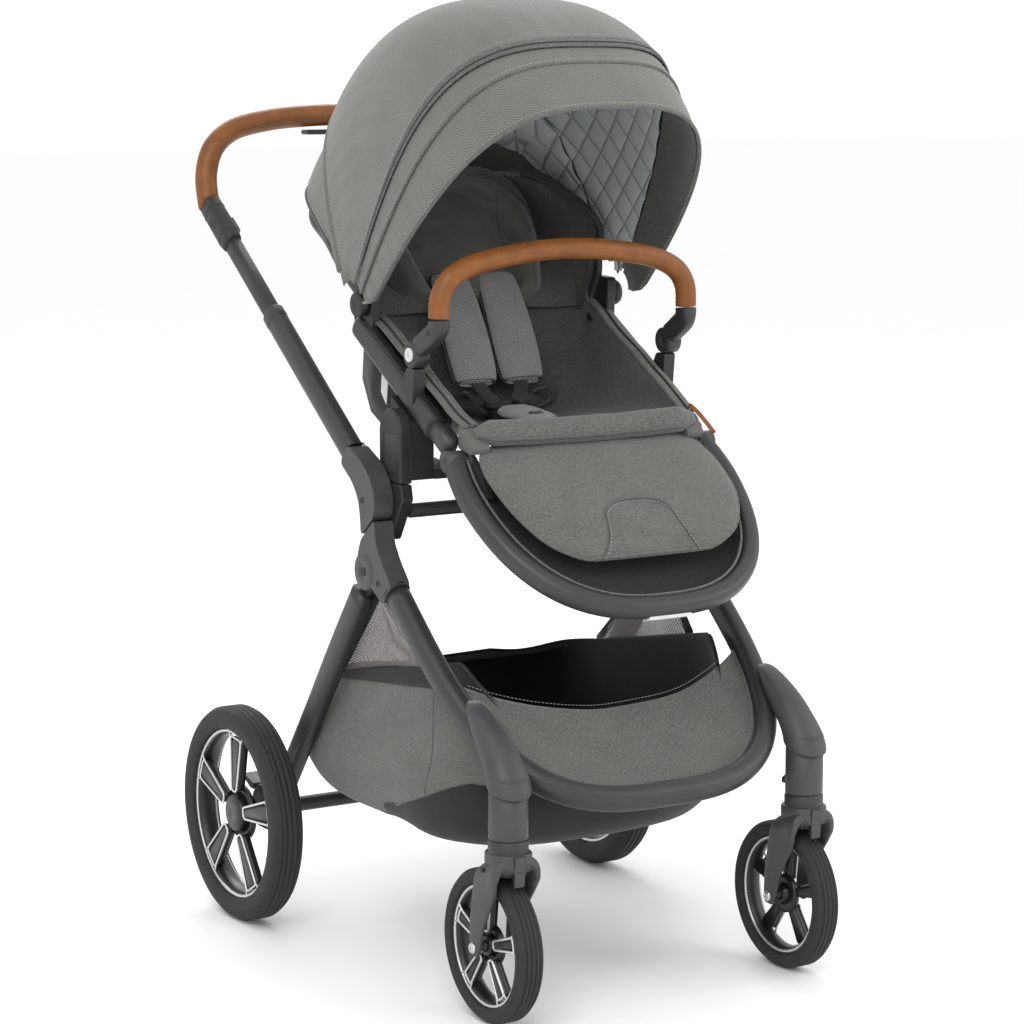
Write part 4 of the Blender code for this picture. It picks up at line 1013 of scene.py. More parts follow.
def seam_lines(name, path, radius, normal, turn, body):
    """The sewn seam along the underside of a leather bar: a fine groove line with stitches on both sides."""
    places = frames(path, normal)
    for shift, kind in ((0.0, "seam"), (-0.16, "stitch_a"), (0.16, "stitch_b")):
        angle = turn + shift
        line = [p + (u * math.cos(angle) + v * math.sin(angle)) * radius for p, u, v in places]
        if kind == "seam":
            cord_line(f"{name}_{kind}", line, 0.0005, "piping", body, normal=(0.2, 1, 0.3))
        else:
            stitches(f"{name}_{kind}", line, 0.0052, 0.0034, 0.00045, "grip", body)


# ---------------------------------------------------------------- cloth
def cloth(name, rows, look, body, thickness, nodes=(),
          wrap=False):
    """A sheet of cloth over rows of points.
    """
    piece = finish_piece(skin(name, rows, wrap=wrap), look, body, nodes)

    thicken(piece, thickness, 0.0)
    return piece


# ---------------------------------------------------------------- canopy
def canopy_reach(phi):
    """The canopy's radius in the middle plane, at an angle in degrees from the rear horizontal."""
    fall = max(0.0, (125.0 - min(phi, 125.0)) / 62.0)
    return 0.4000 - 0.0750 * fall ** 2.2


def canopy_point(turn, phi, half_width, shrink):
    """A point of the canopy: turn runs across from side to side, phi runs round the pivot."""
    c, s = math.cos(turn), abs(math.sin(turn))
    radius = (canopy_reach(phi) - shrink) * s ** (2 / CANOPY_N)
    x = half_width * math.copysign(abs(c) ** (2 / CANOPY_N), c)
    angle = math.radians(phi)
    return Vector((x, CANOPY_AXIS.y + radius * math.cos(angle),
                   CANOPY_AXIS.z + radius * math.sin(angle)))


def radius_at(turn, shrink=0.0055):
    return (0.4 - shrink) * abs(math.sin(turn)) ** (2 / CANOPY_N)


def zip_line(turn):
    """The zip's angle round the pivot: it bows forwards over the top."""
    return 120.0 + 5.2 * abs(math.sin(turn)) ** 3.5


def band_line(turn):
    """The seam between the narrow band and the visor."""
    return 126.0 + 2.3 * math.sin(turn) ** 4 + math.degrees(math.asin(min(0.7, 0.012 / radius_at(turn))))


def edge_line(turn):
    """The visor's front edge, which lies in a plane just below the pivot."""
    return 135.0 + math.degrees(math.asin(min(0.6, 0.0346 / radius_at(turn))))


def canopy_rows(low, high, half_width, shrink, tall, wide=110, first=0.02, relief=None):
    """Rows of canopy points from one line to another. relief pushes the cloth in, by (turn, part of the way)."""
    rows = []
    for i in range(tall + 1):
        t = i / tall
        row = []
        for k in range(wide + 1):
            turn = first + (math.pi - 2 * first) * k / wide
            phi = low(turn) * (1 - t) + high(turn) * t
            inward = shrink + (relief(turn, t, phi) if relief else 0.0)
            row.append(canopy_point(turn, phi, half_width - inward * 0.35, inward))
        rows.append(row)
    return rows


def canopy_line(phi, half_width, shrink, first=0.02, wide=140):
    """One line across the canopy."""
    turns = [first + (math.pi - 2 * first) * k / wide for k in range(wide + 1)]
    return [canopy_point(t, phi(t), half_width, shrink) for t in turns]


def bow_sag(turn, t, phi):
    """Between its hoops the cloth is drawn in a little, with faint creases down the sides."""
    sag = 0.0022 * math.sin(math.pi * t) ** 2 * abs(math.sin(turn))
    return sag + noise.noise(Vector((turn * 3.0, t * 5.0,
                                     2.0))) * 0.0009 * (1.2 - abs(math.sin(turn)))


def quilt_swell(p, puff=0.0065):
    """Diamond quilting: the lining swells between crossing stitch lines, drawn flat on each side and over the top."""
    across = p.z if abs(p.x) > QUILT_SIDE else p.x
    a, b = math.sin(math.pi * (across + p.y) / QUILT_SIZE), math.sin(math.pi * (across - p.y) / QUILT_SIZE)
    return puff * (abs(a) * abs(b)) ** 0.5 + noise.noise(p * 50.0) * 0.0007


def quilt(turn, t, phi):
    """The main lining's quilting."""
    return quilt_swell(canopy_point(turn, phi, 0.2, 0.012))


def build_canopy():
    """The canopy: rear strip, main panel, zip, band, visor, and the quilted lining inside."""
    main = canopy_rows(lambda t: 62.6, lambda t: zip_line(t) - 0.9, 0.2060, 0.0006, 60,
                       relief=bow_sag)
    cloth("canopy_main_cloth", main, "canopy", "canopy", 0.0016, ["canopy_main"])
    lining = canopy_rows(lambda t: 64.0, lambda t: zip_line(t) + 0.5, 0.1995, 0.0132, 170, 300,
                         0.05, quilt)
    cloth("canopy_lining", lining, "lining", "canopy", 0.0010)
    tape = canopy_rows(lambda t: zip_line(t) - 1.1, lambda t: zip_line(t) + 0.9, 0.2062, 0.0008, 4)
    thicken(finish_piece(skin("canopy_zip_tape", tape), "heather", "canopy"), 0.0012, 0.0)
    teeth = canopy_line(zip_line, 0.2064, -0.0002)
    cord_line("canopy_zip_teeth", teeth, 0.0013, "zip", "canopy", normal=(0, 1, 0.3))
    for name, shift in (("back", -1.15), ("front", 0.95)):
        cord_line(f"canopy_zip_piping_{name}",
                  canopy_line(lambda t: zip_line(t) + shift, 0.2062, 0.0010), 0.0014,
                  "heather", "canopy", normal=(0, 1, 0.3))
    for k, shift in enumerate((-2.3, -58.2)):
        phi = (lambda t: zip_line(t) - 2.2) if k == 0 else (lambda t: 64.4)
        stitches(f"canopy_stitch_{k}", canopy_line(phi, 0.2064, 0.0002), 0.0050, 0.0032, 0.00045,
                 "thread", "canopy")
    hem = canopy_line(lambda t: 63.2, 0.2040, 0.0072, 0.05)
    cord_line("canopy_hem", hem, 0.0064, "canopy", "canopy", normal=(0, 1, 0.3))
    for phi in (88.0, 106.0):
        for k in (-1, 1):
            cord_line(f"canopy_binding_{int(phi)}_{k + 1}",
                      canopy_line(lambda t: phi + k * 0.8, 0.1965, 0.0180), 0.0022,
                      "lining", "canopy", normal=(0, 1, 0.3))
    build_visor()
    build_rear_strip()
    for tag, side in SIDES:
        clip = [(0.0020, 0.8500), (0.0400, 0.8520), (0.0540, 0.8360), (0.0520, 0.8060),
                (0.0300, 0.7920), (0.0060, 0.7960)]
        plate(f"canopy_clip_{tag}", fillet(clip, 0.006), 0.1700, 0.1830, "black", "seat", side,
              0.002)
        hinge = [(side * 0.1820, 0.001), (side * 0.1820, 0.0150), (side * 0.1935, 0.0165),
                 (side * 0.1960, 0.0150),
                 (side * 0.1960, 0.001)]
        lathe(f"canopy_hinge_{tag}", hinge, CANOPY_AXIS, "black", "backrest", 48)


def build_visor():
    """The band in front of the zip and the visor, with its bound edge and dark inside."""
    band = canopy_rows(lambda t: zip_line(t) + 0.9, band_line, 0.2035, 0.0048, 10)
    cloth("visor_band", band, "canopy", "visor", 0.0022, ["canopy_visor"])
    front = canopy_rows(lambda t: band_line(t) - 0.6, edge_line, 0.2020, 0.0066, 26,
                        relief=lambda t, v, p: 0.0045 * v * v)
    cloth("visor_cloth", front, "canopy", "visor", 0.0014)
    inside = canopy_rows(lambda t: zip_line(t) + 0.6, lambda t: edge_line(t) - 0.4, 0.2000, 0.0098,
                         30,
                         relief=lambda t, v, p: 0.0036 * v * v)
    cloth("visor_inside", inside, "liner", "visor", 0.0010)
    cord_line("visor_seam", canopy_line(band_line, 0.2030, 0.0058), 0.0021, "heather", "visor",
              normal=(0, 1, 0.3))
    stitches("visor_seam_stitch", canopy_line(lambda t: band_line(t) - 0.75, 0.2038, 0.0040),
             0.0046, 0.0030, 0.0005,
             "thread", "visor")
    edge = canopy_line(edge_line, 0.2012, 0.0118)
    cord_line("visor_binding", edge, 0.0021, "heather", "visor", normal=(0, 1, 0.3))
    stitches("visor_edge_stitch", canopy_line(lambda t: edge_line(t) - 0.75, 0.2014, 0.0100),
             0.0046, 0.0030, 0.0005,
             "thread", "visor")


def build_rear_strip():
    """The lower rear strip of the canopy, which is sewn to the backrest."""
    def line(phi, inset):
        t = (66.0 - phi) / 30.0
        reach = (canopy_reach(66.0) - 0.0130) * (1 - t) + 0.2520 * t - inset
        power, half_width = CANOPY_N + 5.0 * t * t, 0.1985 * (1 - t) + 0.1800 * t - inset
        points = []
        for k in range(181):
            turn = 0.05 + (math.pi - 0.1) * k / 180
            c, radius = math.cos(turn), reach * math.sin(turn) ** (2 / power)
            points.append(Vector((half_width * math.copysign(abs(c) ** (2 / power), c),
                                  CANOPY_AXIS.y + radius * math.cos(math.radians(phi)),
                                  CANOPY_AXIS.z + radius * math.sin(math.radians(phi)))))
        return points

    strip = [line(66.0 - 30.0 * i / 24, 0.0022 * math.sin(math.pi * i / 24)) for i in range(25)]
    cloth("rear_strip_cloth", strip, "canopy", "backrest", 0.0016, ["canopy_rear"])
    inner = [line(65.0 - 18.0 * i / 60, 0.0065) for i in range(61)]
    inner = [[p + (CANOPY_AXIS + Vector((0, 0.04, 0.04)) - p).normalized() * quilt_swell(p) for p in row] for row in inner]
    cloth("rear_strip_lining", inner, "lining", "backrest", 0.0010)
    cord_line("rear_strip_piping", line(36.0, -0.0006), 0.0024, "piping", "backrest",
              normal=(0, 1, 0.3))
    stitches("rear_strip_stitch", line(38.6, -0.0009), 0.0060, 0.0038, 0.0006, "thread", "backrest")


# ---------------------------------------------------------------- seat
def basin(stations, power, count=61, relief=None):
    """A U-shaped shell: at each station, an edge point, a bottom point and a half width."""
    edges = curve([(e[0], e[1], w) for e, b, w in stations], 8)
    bottoms = curve([(b[0], b[1], 0) for e, b, w in stations], 8)
    rows = []
    for i, (e, b) in enumerate(zip(edges, bottoms)):
        row = []
        for k in range(count):
            turn = math.pi * k / (count - 1)
            c, s = math.cos(turn), math.sin(turn)
            part = s ** (2 / power)
            x = e.z * math.copysign(abs(c) ** (2 / power), c)
            p = Vector((x, e.x + (b.x - e.x) * part, e.y + (b.y - e.y) * part))
            if relief:
                p += relief(i / (len(edges) - 1), k / (count - 1), p)
            row.append(p)
        rows.append(row)
    return rows


def cloth_ripple(scale, amount, seed=0.0):
    """Creases for a hanging cloth."""
    return lambda v, u, p: Vector((wave(p, scale, amount, seed), wave(p, scale, amount, seed + 3.0),
                                   wave(p, scale * 1.3, amount, seed + 6.0)))


SEAT_STATIONS = (((-0.2000, 0.6930), (-0.2080, 0.6900), 0.150),
                 ((-0.1650, 0.7100), (-0.1550, 0.6800), 0.154),
                 ((-0.1000, 0.7460), (-0.0600, 0.6720), 0.154),
                 ((-0.0400, 0.7790), (0.0020, 0.6760), 0.154),
                 ((0.0000, 0.8010), (0.0380, 0.7150), 0.156),
                 ((0.0260, 0.8130), (0.0560, 0.7700), 0.158),
                 ((0.0420, 0.8190), (0.0740, 0.8120), 0.162),
                 ((0.0460, 0.8360), (0.0860, 0.8440), 0.168))
BACK_STATIONS = (((0.0460, 0.8060), (0.0700, 0.8080), 0.160),
                 ((0.0420, 0.8300), (0.0860, 0.8350), 0.166),
                 ((0.0300, 0.8600), (0.1400, 0.8640), 0.168),
                 ((0.0280, 0.8900), (0.1900, 0.8980), 0.166),
                 ((0.0340, 0.9150), (0.2230, 0.9250), 0.172),
                 ((0.0480, 0.9370), (0.2340, 0.9480), 0.164),
                 ((0.0700, 0.9560), (0.2180, 0.9640), 0.151),
                 ((0.1000, 0.9780), (0.1850, 0.9740), 0.132),
                 ((0.1250, 0.9890), (0.1540, 0.9820), 0.108))


def build_seat_cloth():
    """The liner of the seat, its bound edges, and the roll across the front."""
    rows = basin(SEAT_STATIONS, 3.4, relief=cloth_ripple(14.0, 0.0022))
    cloth("seat_liner", rows, "liner", "seat", 0.0030, ["seat_tub"])
    under = basin([((e[0], e[1] - 0.006), (b[0] + (0.004 if b[1] > 0.70 else 0), b[1] - 0.012),
                    w + 0.002)
                           for e, b, w in SEAT_STATIONS], 3.0)
    cloth("seat_underside", under, "heather", "seat", 0.0020)
    for tag, side in SIDES:
        edge = [Vector((side * abs(row[0].x), row[0].y, row[0].z + 0.002)) for row in rows]
        tube(f"seat_zip_tape_{tag}", [p + Vector((side * 0.0090, 0, 0.0005)) for p in edge],
             rounded(0.0115, 0.0016, 2.6, 14),
             (1, 0, 0), "heather", "seat")
        side_cloth = [[Vector((side * 0.1640, y0 + (y1 - y0) * t, z0 + (z1 - z0) * t)) for t in (0, 0.25, 0.5, 0.75, 1)]
                      for y0, z0, y1,
                      z1 in ((0.0560, 0.8060, 0.0640, 0.7300), (0.0200, 0.7860, 0.0420, 0.6900),
                                             (-0.0300, 0.7560, 0.0000, 0.6700),
                                             (-0.0900, 0.7200, -0.0700, 0.6660))]
        cloth(f"seat_side_{tag}", side_cloth, "black_cloth", "seat", 0.0012)
        cord_line(f"seat_zip_teeth_{tag}", [p + Vector((side * 0.0100, 0, 0.0034)) for p in edge],
                  0.0012, "black", "seat")
        cord_line(f"seat_piping_{tag}", [p + Vector((0, 0, 0.001)) for p in edge], 0.0024,
                  "heather", "seat")
        stitches(f"seat_stitch_{tag}", [p + Vector((side * 0.0040, 0, 0.0030)) for p in edge],
                 0.0050, 0.0032, 0.0004,
                 "thread", "seat")
        corner = [(-0.1880, 0.6980), (-0.2080, 0.6900), (-0.2240, 0.6700), (-0.2180, 0.6620),
                  (-0.1860, 0.6680)]
        plate(f"seat_corner_{tag}", fillet(corner, 0.004), 0.1440, 0.1690, "heather", "seat", side,
              0.003)
        pull = [edge[3] + Vector((side * 0.014, -0.004, 0.004)),
                edge[2] + Vector((side * 0.020, -0.012, -0.004)),
                edge[1] + Vector((side * 0.026, -0.022, -0.016)),
                edge[0] + Vector((side * 0.030, -0.030, -0.026))]
        if side > 0:
            tube("zip_pull", curve(pull, 6), rounded(0.0030, 0.0009, 2.6, 12), (1, 0, 0.4), "grip",
                 "seat",
                 round_ends=0.002)
    build_front_roll()


def build_front_roll():
    """The stuffed roll across the seat's front edge, pinched where it is sewn at its ends."""
    rows, seam = [], []
    for i in range(81):
        t = i / 80
        x = -0.158 + 0.316 * t
        end = min(t, 1 - t)
        size = 0.0138 * min(1.0, 0.45 + end * 9.0) * (1.0 + 0.05 * noise.noise(Vector((x * 30, 1.0, 0.0))))
        middle = Vector((x, -0.2120 - 0.0040 * math.sin(math.pi * t),
                         0.6880 - 0.0030 * math.sin(math.pi * t)))
        ring = []
        for a, b in rounded(size * 1.15, size, 2.1, 32):
            crease = wave((x * 3.0, a, b), 60.0, 0.0012)
            ring.append(middle + Vector((0, a * 0.80 - b * 0.25,
                                         b + a * 0.45)) * (1.0 + crease / size * 0.2))
        rows.append(ring)
        seam.append(middle + Vector((0, -size * 0.95, -size * 0.55)))
    piece = finish_piece(skin("front_roll", rows, wrap=True, caps=True), "heather", "seat")
    cord_line("front_roll_seam", seam, 0.0014, "piping", "seat", normal=(0, 0, 1))


def build_backrest():
    """The backrest: a dark shell, the cloth panel on its back, and the liner inside."""
    shell = basin(BACK_STATIONS, 9.0)
    piece = finish_piece(skin("backrest_shell", shell), "dark", "backrest", ["backrest"])
    thicken(piece, 0.0040, 0.0)
    liner = [((e[0] + 0.002, e[1] + 0.001), (b[0] - 0.012, b[1] + 0.003), w - 0.006) for e, b,
             w in BACK_STATIONS]
    rows = basin(liner, 4.6, relief=cloth_ripple(16.0, 0.0024, 4.0))
    cloth("backrest_liner", rows, "liner", SEAT_TO_BACK, 0.0030)
    panel = basin([(e, (b[0] + 0.0030, b[1] - 0.0010), w * 0.985) for e, b, w in BACK_STATIONS],
                  9.0)
    panel = [[p for p in row[14:47]] for row in panel[4:-4]]
    cloth("backrest_panel", panel, "heather", "backrest", 0.0016)
    border = [row[0] for row in panel] + panel[-1][1:-1] + [row[-1] for row in reversed(panel)] + panel[0][-2:0:-1]
    cord_line("backrest_panel_piping", border, 0.0022, "piping", "backrest", True, (0, 1, 0.2))
    for tag, side in SIDES:
        edge = [Vector((side * abs(row[0].x), row[0].y, row[0].z)) for row in rows]
        tube(f"wing_binding_{tag}", edge, rounded(0.0052, 0.0036, 2.2, 14), (1, 0, 0), "zip",
             SEAT_TO_BACK)
        rim = [Vector((side * abs(row[0].x) * 1.012, row[0].y - 0.002,
                       row[0].z - 0.003)) for row in shell]
        tube(f"shell_rim_{tag}", rim, rounded(0.0046, 0.0075, 2.6, 16), (1, 0, 0), "dark",
             "backrest", round_ends=0.002)


def pad_rows(stations, power, count, relief=None, x=0.0, per_span=8, lean=0.0):
    """A soft pad along (y, z, half width, half thickness) stations."""
    middle = curve([(0, y, z) for y, z, w, h in stations], per_span)
    size = curve([(w, h, 0) for y, z, w, h in stations], per_span)
    rows = []
    for i, p in enumerate(middle):
        before, after = middle[max(i - 1, 0)], middle[min(i + 1, len(middle) - 1)]
        along = (after - before).normalized()
        across = Vector((0, -along.z, along.y))
        w, h = max(size[i].x, 0.002), max(size[i].y, 0.0012)
        ring = []
        for a, b in rounded(w, h, power, count):
            push = relief(i / (len(middle) - 1), a / w, b / h) if relief else 0.0
            b += push * (1 if b > 0 else 0)
            turned = (a * math.cos(lean) - b * math.sin(lean),
                      a * math.sin(lean) + b * math.cos(lean))
            ring.append(Vector((x + turned[0], p.y, p.z)) + across * turned[1])
        rows.append(ring)
    return rows


INSERT_STATIONS = ((0.0600, 0.8200, 0.070, 0.005), (0.0680, 0.8300, 0.104, 0.010),
                   (0.0920, 0.8600, 0.120, 0.012),
                   (0.1220, 0.9000, 0.132, 0.013), (0.1460, 0.9400, 0.132, 0.013),
                   (0.1500, 0.9740, 0.108, 0.011),
                   (0.1460, 0.9920, 0.062, 0.006))


def insert_relief(v, a, b):
    """A raised bolster round the head in a U, and a second, smaller cushion inside it."""
    radial = math.hypot(a, max(0.0, v - 0.45) * 1.75)
    bolster = math.exp(-((radial - 0.78) / 0.15) ** 4)
    groove = math.exp(-((radial - 0.56) / 0.045) ** 2)
    pillow = max(0.0, 1.0 - (radial / 0.50) ** 4)
    fade = max(0.0, min(1.0, v / 0.16))
    return (0.0150 * bolster + 0.0060 * pillow - 0.0030 * groove) * fade + 0.0010 * noise.noise(Vector((a * 4, v * 5, 3)))


def build_head_insert():
    """The smooth infant insert with its U-shaped pillow and side wings."""
    rows = pad_rows(INSERT_STATIONS, 2.6, 96, insert_relief, per_span=14)
    piece = finish_piece(skin("insert_pad", rows, wrap=True, caps=True), "insert", INSERT_TURN,
                         ["head_insert"])
    for tag, side in SIDES:
        line = [min(row[:len(row) // 2],
                    key=lambda p: abs(p.x - side * 0.56 * abs(row[0].x))) for row in rows[12:-14]]
        cord_line(f"insert_piping_{tag}", [p + Vector((0, -0.0006, 0.0004)) for p in line], 0.0013,
                  "insert", INSERT_TURN)


INSERT_TURN = ("seat", "backrest", (0, 0.0600, 0.8200), (0, 0.1150, 0.8900))
PAD_TURN = ("seat", "backrest", (0, 0.0100, 0.7500), (0, 0.0600, 0.8450))
SEAT_TO_BACK = ("seat", "backrest", (0, 0.0640, 0.8120), (0, 0.1200, 0.8600))
PAD_STATIONS = ((-0.0040, 0.7230, 0.022, 0.004), (0.0000, 0.7290, 0.031, 0.008),
                (0.0200, 0.7700, 0.033, 0.009),
                (0.0460, 0.8180, 0.031, 0.009), (0.0660, 0.8480, 0.028, 0.008),
                (0.0720, 0.8560, 0.022, 0.004))


def build_harness():
    """Shoulder pads, crotch pad, webbing and the buckle."""
    for tag, side in SIDES:
        puff = lambda v, a, b: 0.0012 * (1 - a * a) + 0.0007 * noise.noise(Vector((a * 3, v * 9,
                                                                                   side)))
        rows = pad_rows(PAD_STATIONS, 3.4, 56, puff, side * 0.0350, 12)
        piece = finish_piece(skin(f"shoulder_pad_{tag}", rows, wrap=True, caps=True), "pads",
                             PAD_TURN,
                             [f"harness_pad_{tag}"])
        for way in (-1, 1):
            edge = [min(ring, key=lambda q: -way * q.x) for ring in rows[2:-2]]
            cord_line(f"pad_edge_{'a' if way < 0 else 'b'}_{tag}", edge, 0.0013, "black_cloth",
                      PAD_TURN)
        strap = curve([(side * 0.0350, 0.0700, 0.8500), (side * 0.0340, 0.0860, 0.8760),
                       (side * 0.0330, 0.1060, 0.8840)], 8)
        tube(f"shoulder_strap_{tag}", strap, rounded(0.0115, 0.0009, 3.0, 16), (1, 0, 0), "web",
             SEAT_TO_BACK)
        lower = curve([(side * 0.0330, -0.0010, 0.7250), (side * 0.0260, -0.0130, 0.7080),
                       (side * 0.0160, -0.0220, 0.6980)], 8)
        tube(f"lower_strap_{tag}", lower, rounded(0.0100, 0.0009, 3.0, 16), (1, 0, 0), "web",
             "seat")
        lap = curve([(side * 0.0180, -0.0260, 0.6900), (side * 0.0620, -0.0040, 0.7000),
                     (side * 0.1050, 0.0180, 0.6960),
                     (side * 0.1240, 0.0280, 0.6900)], 10)
        tube(f"lap_strap_{tag}", lap, rounded(0.0100, 0.0009, 3.0, 16), (0, 0.3, 1), "web", "seat")
        loop = curve([(side * 0.0420, -0.0300, 0.6900), (side * 0.0560, -0.0380, 0.7000),
                      (side * 0.0600, -0.0200, 0.7120),
                      (side * 0.0480, -0.0080, 0.7080)], 8)
        tube(f"strap_loop_{tag}", loop, rounded(0.0050, 0.0009, 3.0, 12), (0.2, 1, 0.2), "web",
             "seat")
        tongue = fillet([(0.012, -0.012), (0.030, -0.008), (0.036, 0.006), (0.024, 0.014),
                         (0.010, 0.012)], 0.004)
        low = [Vector((side * a, -0.0250 + b, 0.6920)) for a, b in tongue]
        high = [p + Vector((0, 0, 0.0055)) for p in low]
        finish_piece(soften(skin(f"buckle_tongue_{tag}", [low, high], wrap=True, caps=True),
                            0.0010, 2), "black", "seat")
    keep("buckle", "black", 0.0015)
    keep("buckle_button", "dark", 0.0008)
    pad = ((-0.1080, 0.6840, 0.010, 0.002), (-0.1040, 0.6850, 0.024, 0.0045),
           (-0.0840, 0.6860, 0.031, 0.0055),
           (-0.0640, 0.6870, 0.033, 0.0060), (-0.0480, 0.6900, 0.030, 0.0055),
           (-0.0390, 0.6940, 0.020, 0.0030))
    rows = pad_rows(pad, 2.4, 48)
    finish_piece(skin("crotch_pad", rows, wrap=True, caps=True), "pads", "seat")
    strap = curve([(0, -0.1180, 0.6800), (0, -0.1060, 0.6850), (0, -0.0900, 0.6930)], 6)
    tube("crotch_strap", strap, rounded(0.0100, 0.0009, 3.0, 16), (1, 0, 0), "web", "seat")


def build_rails():
    """The seat rails, their channel, adapters and buttons."""
    for tag, side in SIDES:
        x = side * RAIL_X
        sleeve = [rail_point(s, x) for s in (0.0, 0.004, 0.05, 0.10, 0.15, 0.2190, 0.2200)]
        tube(f"rail_sleeve_{tag}", sleeve, rounded(0.0110, 0.0150, 2.8, 40), (1, 0, 0), "tube",
             "seat",
             [f"seat_rail_{tag}"], scales=[0.94, 1.0, 1.0, 1.0, 1.0, 1.0, 0.96])
        lower = [rail_point(s, x, -0.001) for s in (0.2150, 0.2400, RAIL_LENGTH - 0.0180)]
        tube(f"rail_tube_{tag}", lower, rounded(0.0090, 0.0122, 2.6, 36), (1, 0, 0), "shell",
             "seat")
        channel = [rail_point(s, x - side * 0.0015, 0.0146) for s in (0.012, 0.10, 0.2150)]
        tube(f"rail_channel_{tag}", channel, rounded(0.0062, 0.0022, 3.0, 16), (1, 0, 0), "black",
             "seat", round_ends=0.001)
        ring = [rail_point(0.2190, x + a, b) for a, b in rounded(0.0112, 0.0153, 2.8, 36)]
        cord_line(f"rail_collar_{tag}", ring, 0.0011, "dark", "seat", True, (0, -0.863, -0.505))
        knuckle = [(side * 0.1600, 0.001), (side * 0.1600, 0.0135), (side * 0.1612, 0.0145),
                   (side * 0.1664, 0.0145),
                   (side * 0.1672, 0.0135), (side * 0.1672, 0.001)]
        lathe(f"knuckle_{tag}", knuckle, (0, -0.1990, 0.6545), "dark", "seat", 48)
        bridge = [tuple(rail_point(s, 0, b))[1:] for s,
                  b in ((0.2220, -0.0085), (0.2560, -0.0085), (0.2560, 0.0085),
                                                             (0.2220, 0.0085))]
        plate(f"rail_bridge_{tag}", bridge, 0.1640, 0.1780, "dark", "seat", side, 0.002)
        post = [(-0.1220, BUMPER_AXIS.z - 0.0165), (-0.1020, BUMPER_AXIS.z - 0.0165),
                (-0.0880, 0.7340), (-0.1170, 0.7150)]
        plate(f"bumper_post_{tag}", fillet(post, 0.005), 0.1765, 0.1930, "black", "seat", side,
              0.003)
        keep(f"seat_adapter_{tag}", "black", 0.0015)
        keep(f"adapter_button_{tag}", "dark", 0.0010)
        patch = [(-0.0080, 0.7440), (0.0080, 0.7540), (0.0120, 0.7180), (-0.0020, 0.7020)]
        plate(f"reflector_{tag}", fillet(patch, 0.002), 0.1650, 0.1662, "white", "seat", side,
              0.0004)
        lining = [tuple(rail_point(s, 0, b))[1:] for s,
                  b in ((0.0060, -0.0100), (0.2180, -0.0100), (0.2180, 0.0080),
                                                             (0.0060, 0.0080))]
        plate(f"rail_inner_{tag}", fillet(lining, 0.003), 0.1560, 0.1700, "black", "seat", side,
              0.002)


# ---------------------------------------------------------------- bumper bar and footrest
def build_bumper():
    """The bumper bar with its leather sleeve, plastic ends and round buttons."""
    half = curve([(-0.1810, -0.1624, 0.8240), (-0.1790, -0.1630, 0.8500),
                  (-0.1660, -0.1630, 0.8710),
                  (-0.1400, -0.1630, 0.8850), (-0.1050, -0.1630, 0.8935),
                  (-0.0500, -0.1630, 0.9010),
                  (0.0, -0.1630, 0.9035)], 10)
    path = mirror_path(half)
    tube("bumper_leather", path, rounded(0.0130, 0.0130, 2.0, 40), (0, 1, 0), "grip", "bumper",
         ["bumper_grip"],
         round_ends=0.001)
    seam_lines("bumper", path, 0.0130, (0, 1, 0), math.radians(-70), "bumper")
    for tag, side in SIDES:
        ends = [(side * 0.1850, -0.1230, 0.7860), (side * 0.1840, -0.1400, 0.7960),
                (side * 0.1825, -0.1560, 0.8060),
                (side * 0.1811, -0.1622, 0.8150), (side * 0.1810, -0.1623, 0.8222)]
        arm = curve(ends, 6)
        sizes = [1.0 + 0.05 * k / (len(arm) - 1) for k in range(len(arm))]
        tube(f"bumper_end_{tag}", arm, rounded(0.0102, 0.0135, 3.0, 40), (1, 0, 0), "dark",
             "bumper",
             [f"bumper_arm_{tag}"], scales=sizes, round_ends=0.0012)
        disc = [(side * 0.1760, 0.001), (side * 0.1760, 0.0155), (side * 0.1772, 0.0165),
                (side * 0.1948, 0.0165),
                (side * 0.1960, 0.0152), (side * 0.1960, 0.0098), (side * 0.1920, 0.0096),
                (side * 0.1920, 0.001)]
        lathe(f"bumper_knuckle_{tag}", disc, BUMPER_AXIS, "dark", "bumper", 64)
        cap = [(side * 0.1942, 0.0004), (side * 0.1942, 0.0088), (side * 0.1974, 0.0090),
               (side * 0.1986, 0.0078),
               (side * 0.1990, 0.0004)]
        lathe(f"bumper_cap_{tag}", cap, BUMPER_AXIS, "white", f"bumper_catch_{tag}", 48,
              nodes=[f"bumper_button_{tag}"])
        screw(f"bumper_screw_{tag}", (side * 0.1930, -0.1560, 0.8065), side, "bumper", 0.0030)


FOOT_TURN = ("seat", "footrest", (0, -0.2060, 0.6660), (0, -0.2600, 0.6320))
FOOT_PAD = ((-0.3560, 0.5460, 0.080, 0.0035), (-0.3510, 0.5540, 0.108, 0.0070),
            (-0.3380, 0.5710, 0.138, 0.0090),
            (-0.3050, 0.6010, 0.160, 0.0095), (-0.2600, 0.6320, 0.166, 0.0095),
            (-0.2270, 0.6535, 0.160, 0.008),
            (-0.2110, 0.6640, 0.148, 0.0060), (-0.2020, 0.6700, 0.130, 0.003))


def pad_top(rows, v, x):
    """The point at x on the upper side of a pad, v of the way along it from 0 to 1."""
    place = v * (len(rows) - 1)
    i = min(int(place), len(rows) - 2)
    found = []
    for ring in (rows[i], rows[i + 1]):
        middle = sum((p.z - p.y for p in ring)) / len(ring)
        upper = sorted((p for p in ring if p.z - p.y > middle), key=lambda p: p.x)
        pairs = [(p, q) for p,
                 q in zip(upper, upper[1:]) if p.x <= x <= q.x] or [(upper[0], upper[1])]
        p, q = pairs[0]
        found.append(p.lerp(q, (x - p.x) / max(q.x - p.x, 1e-9)))
    return found[0].lerp(found[1], place - i)


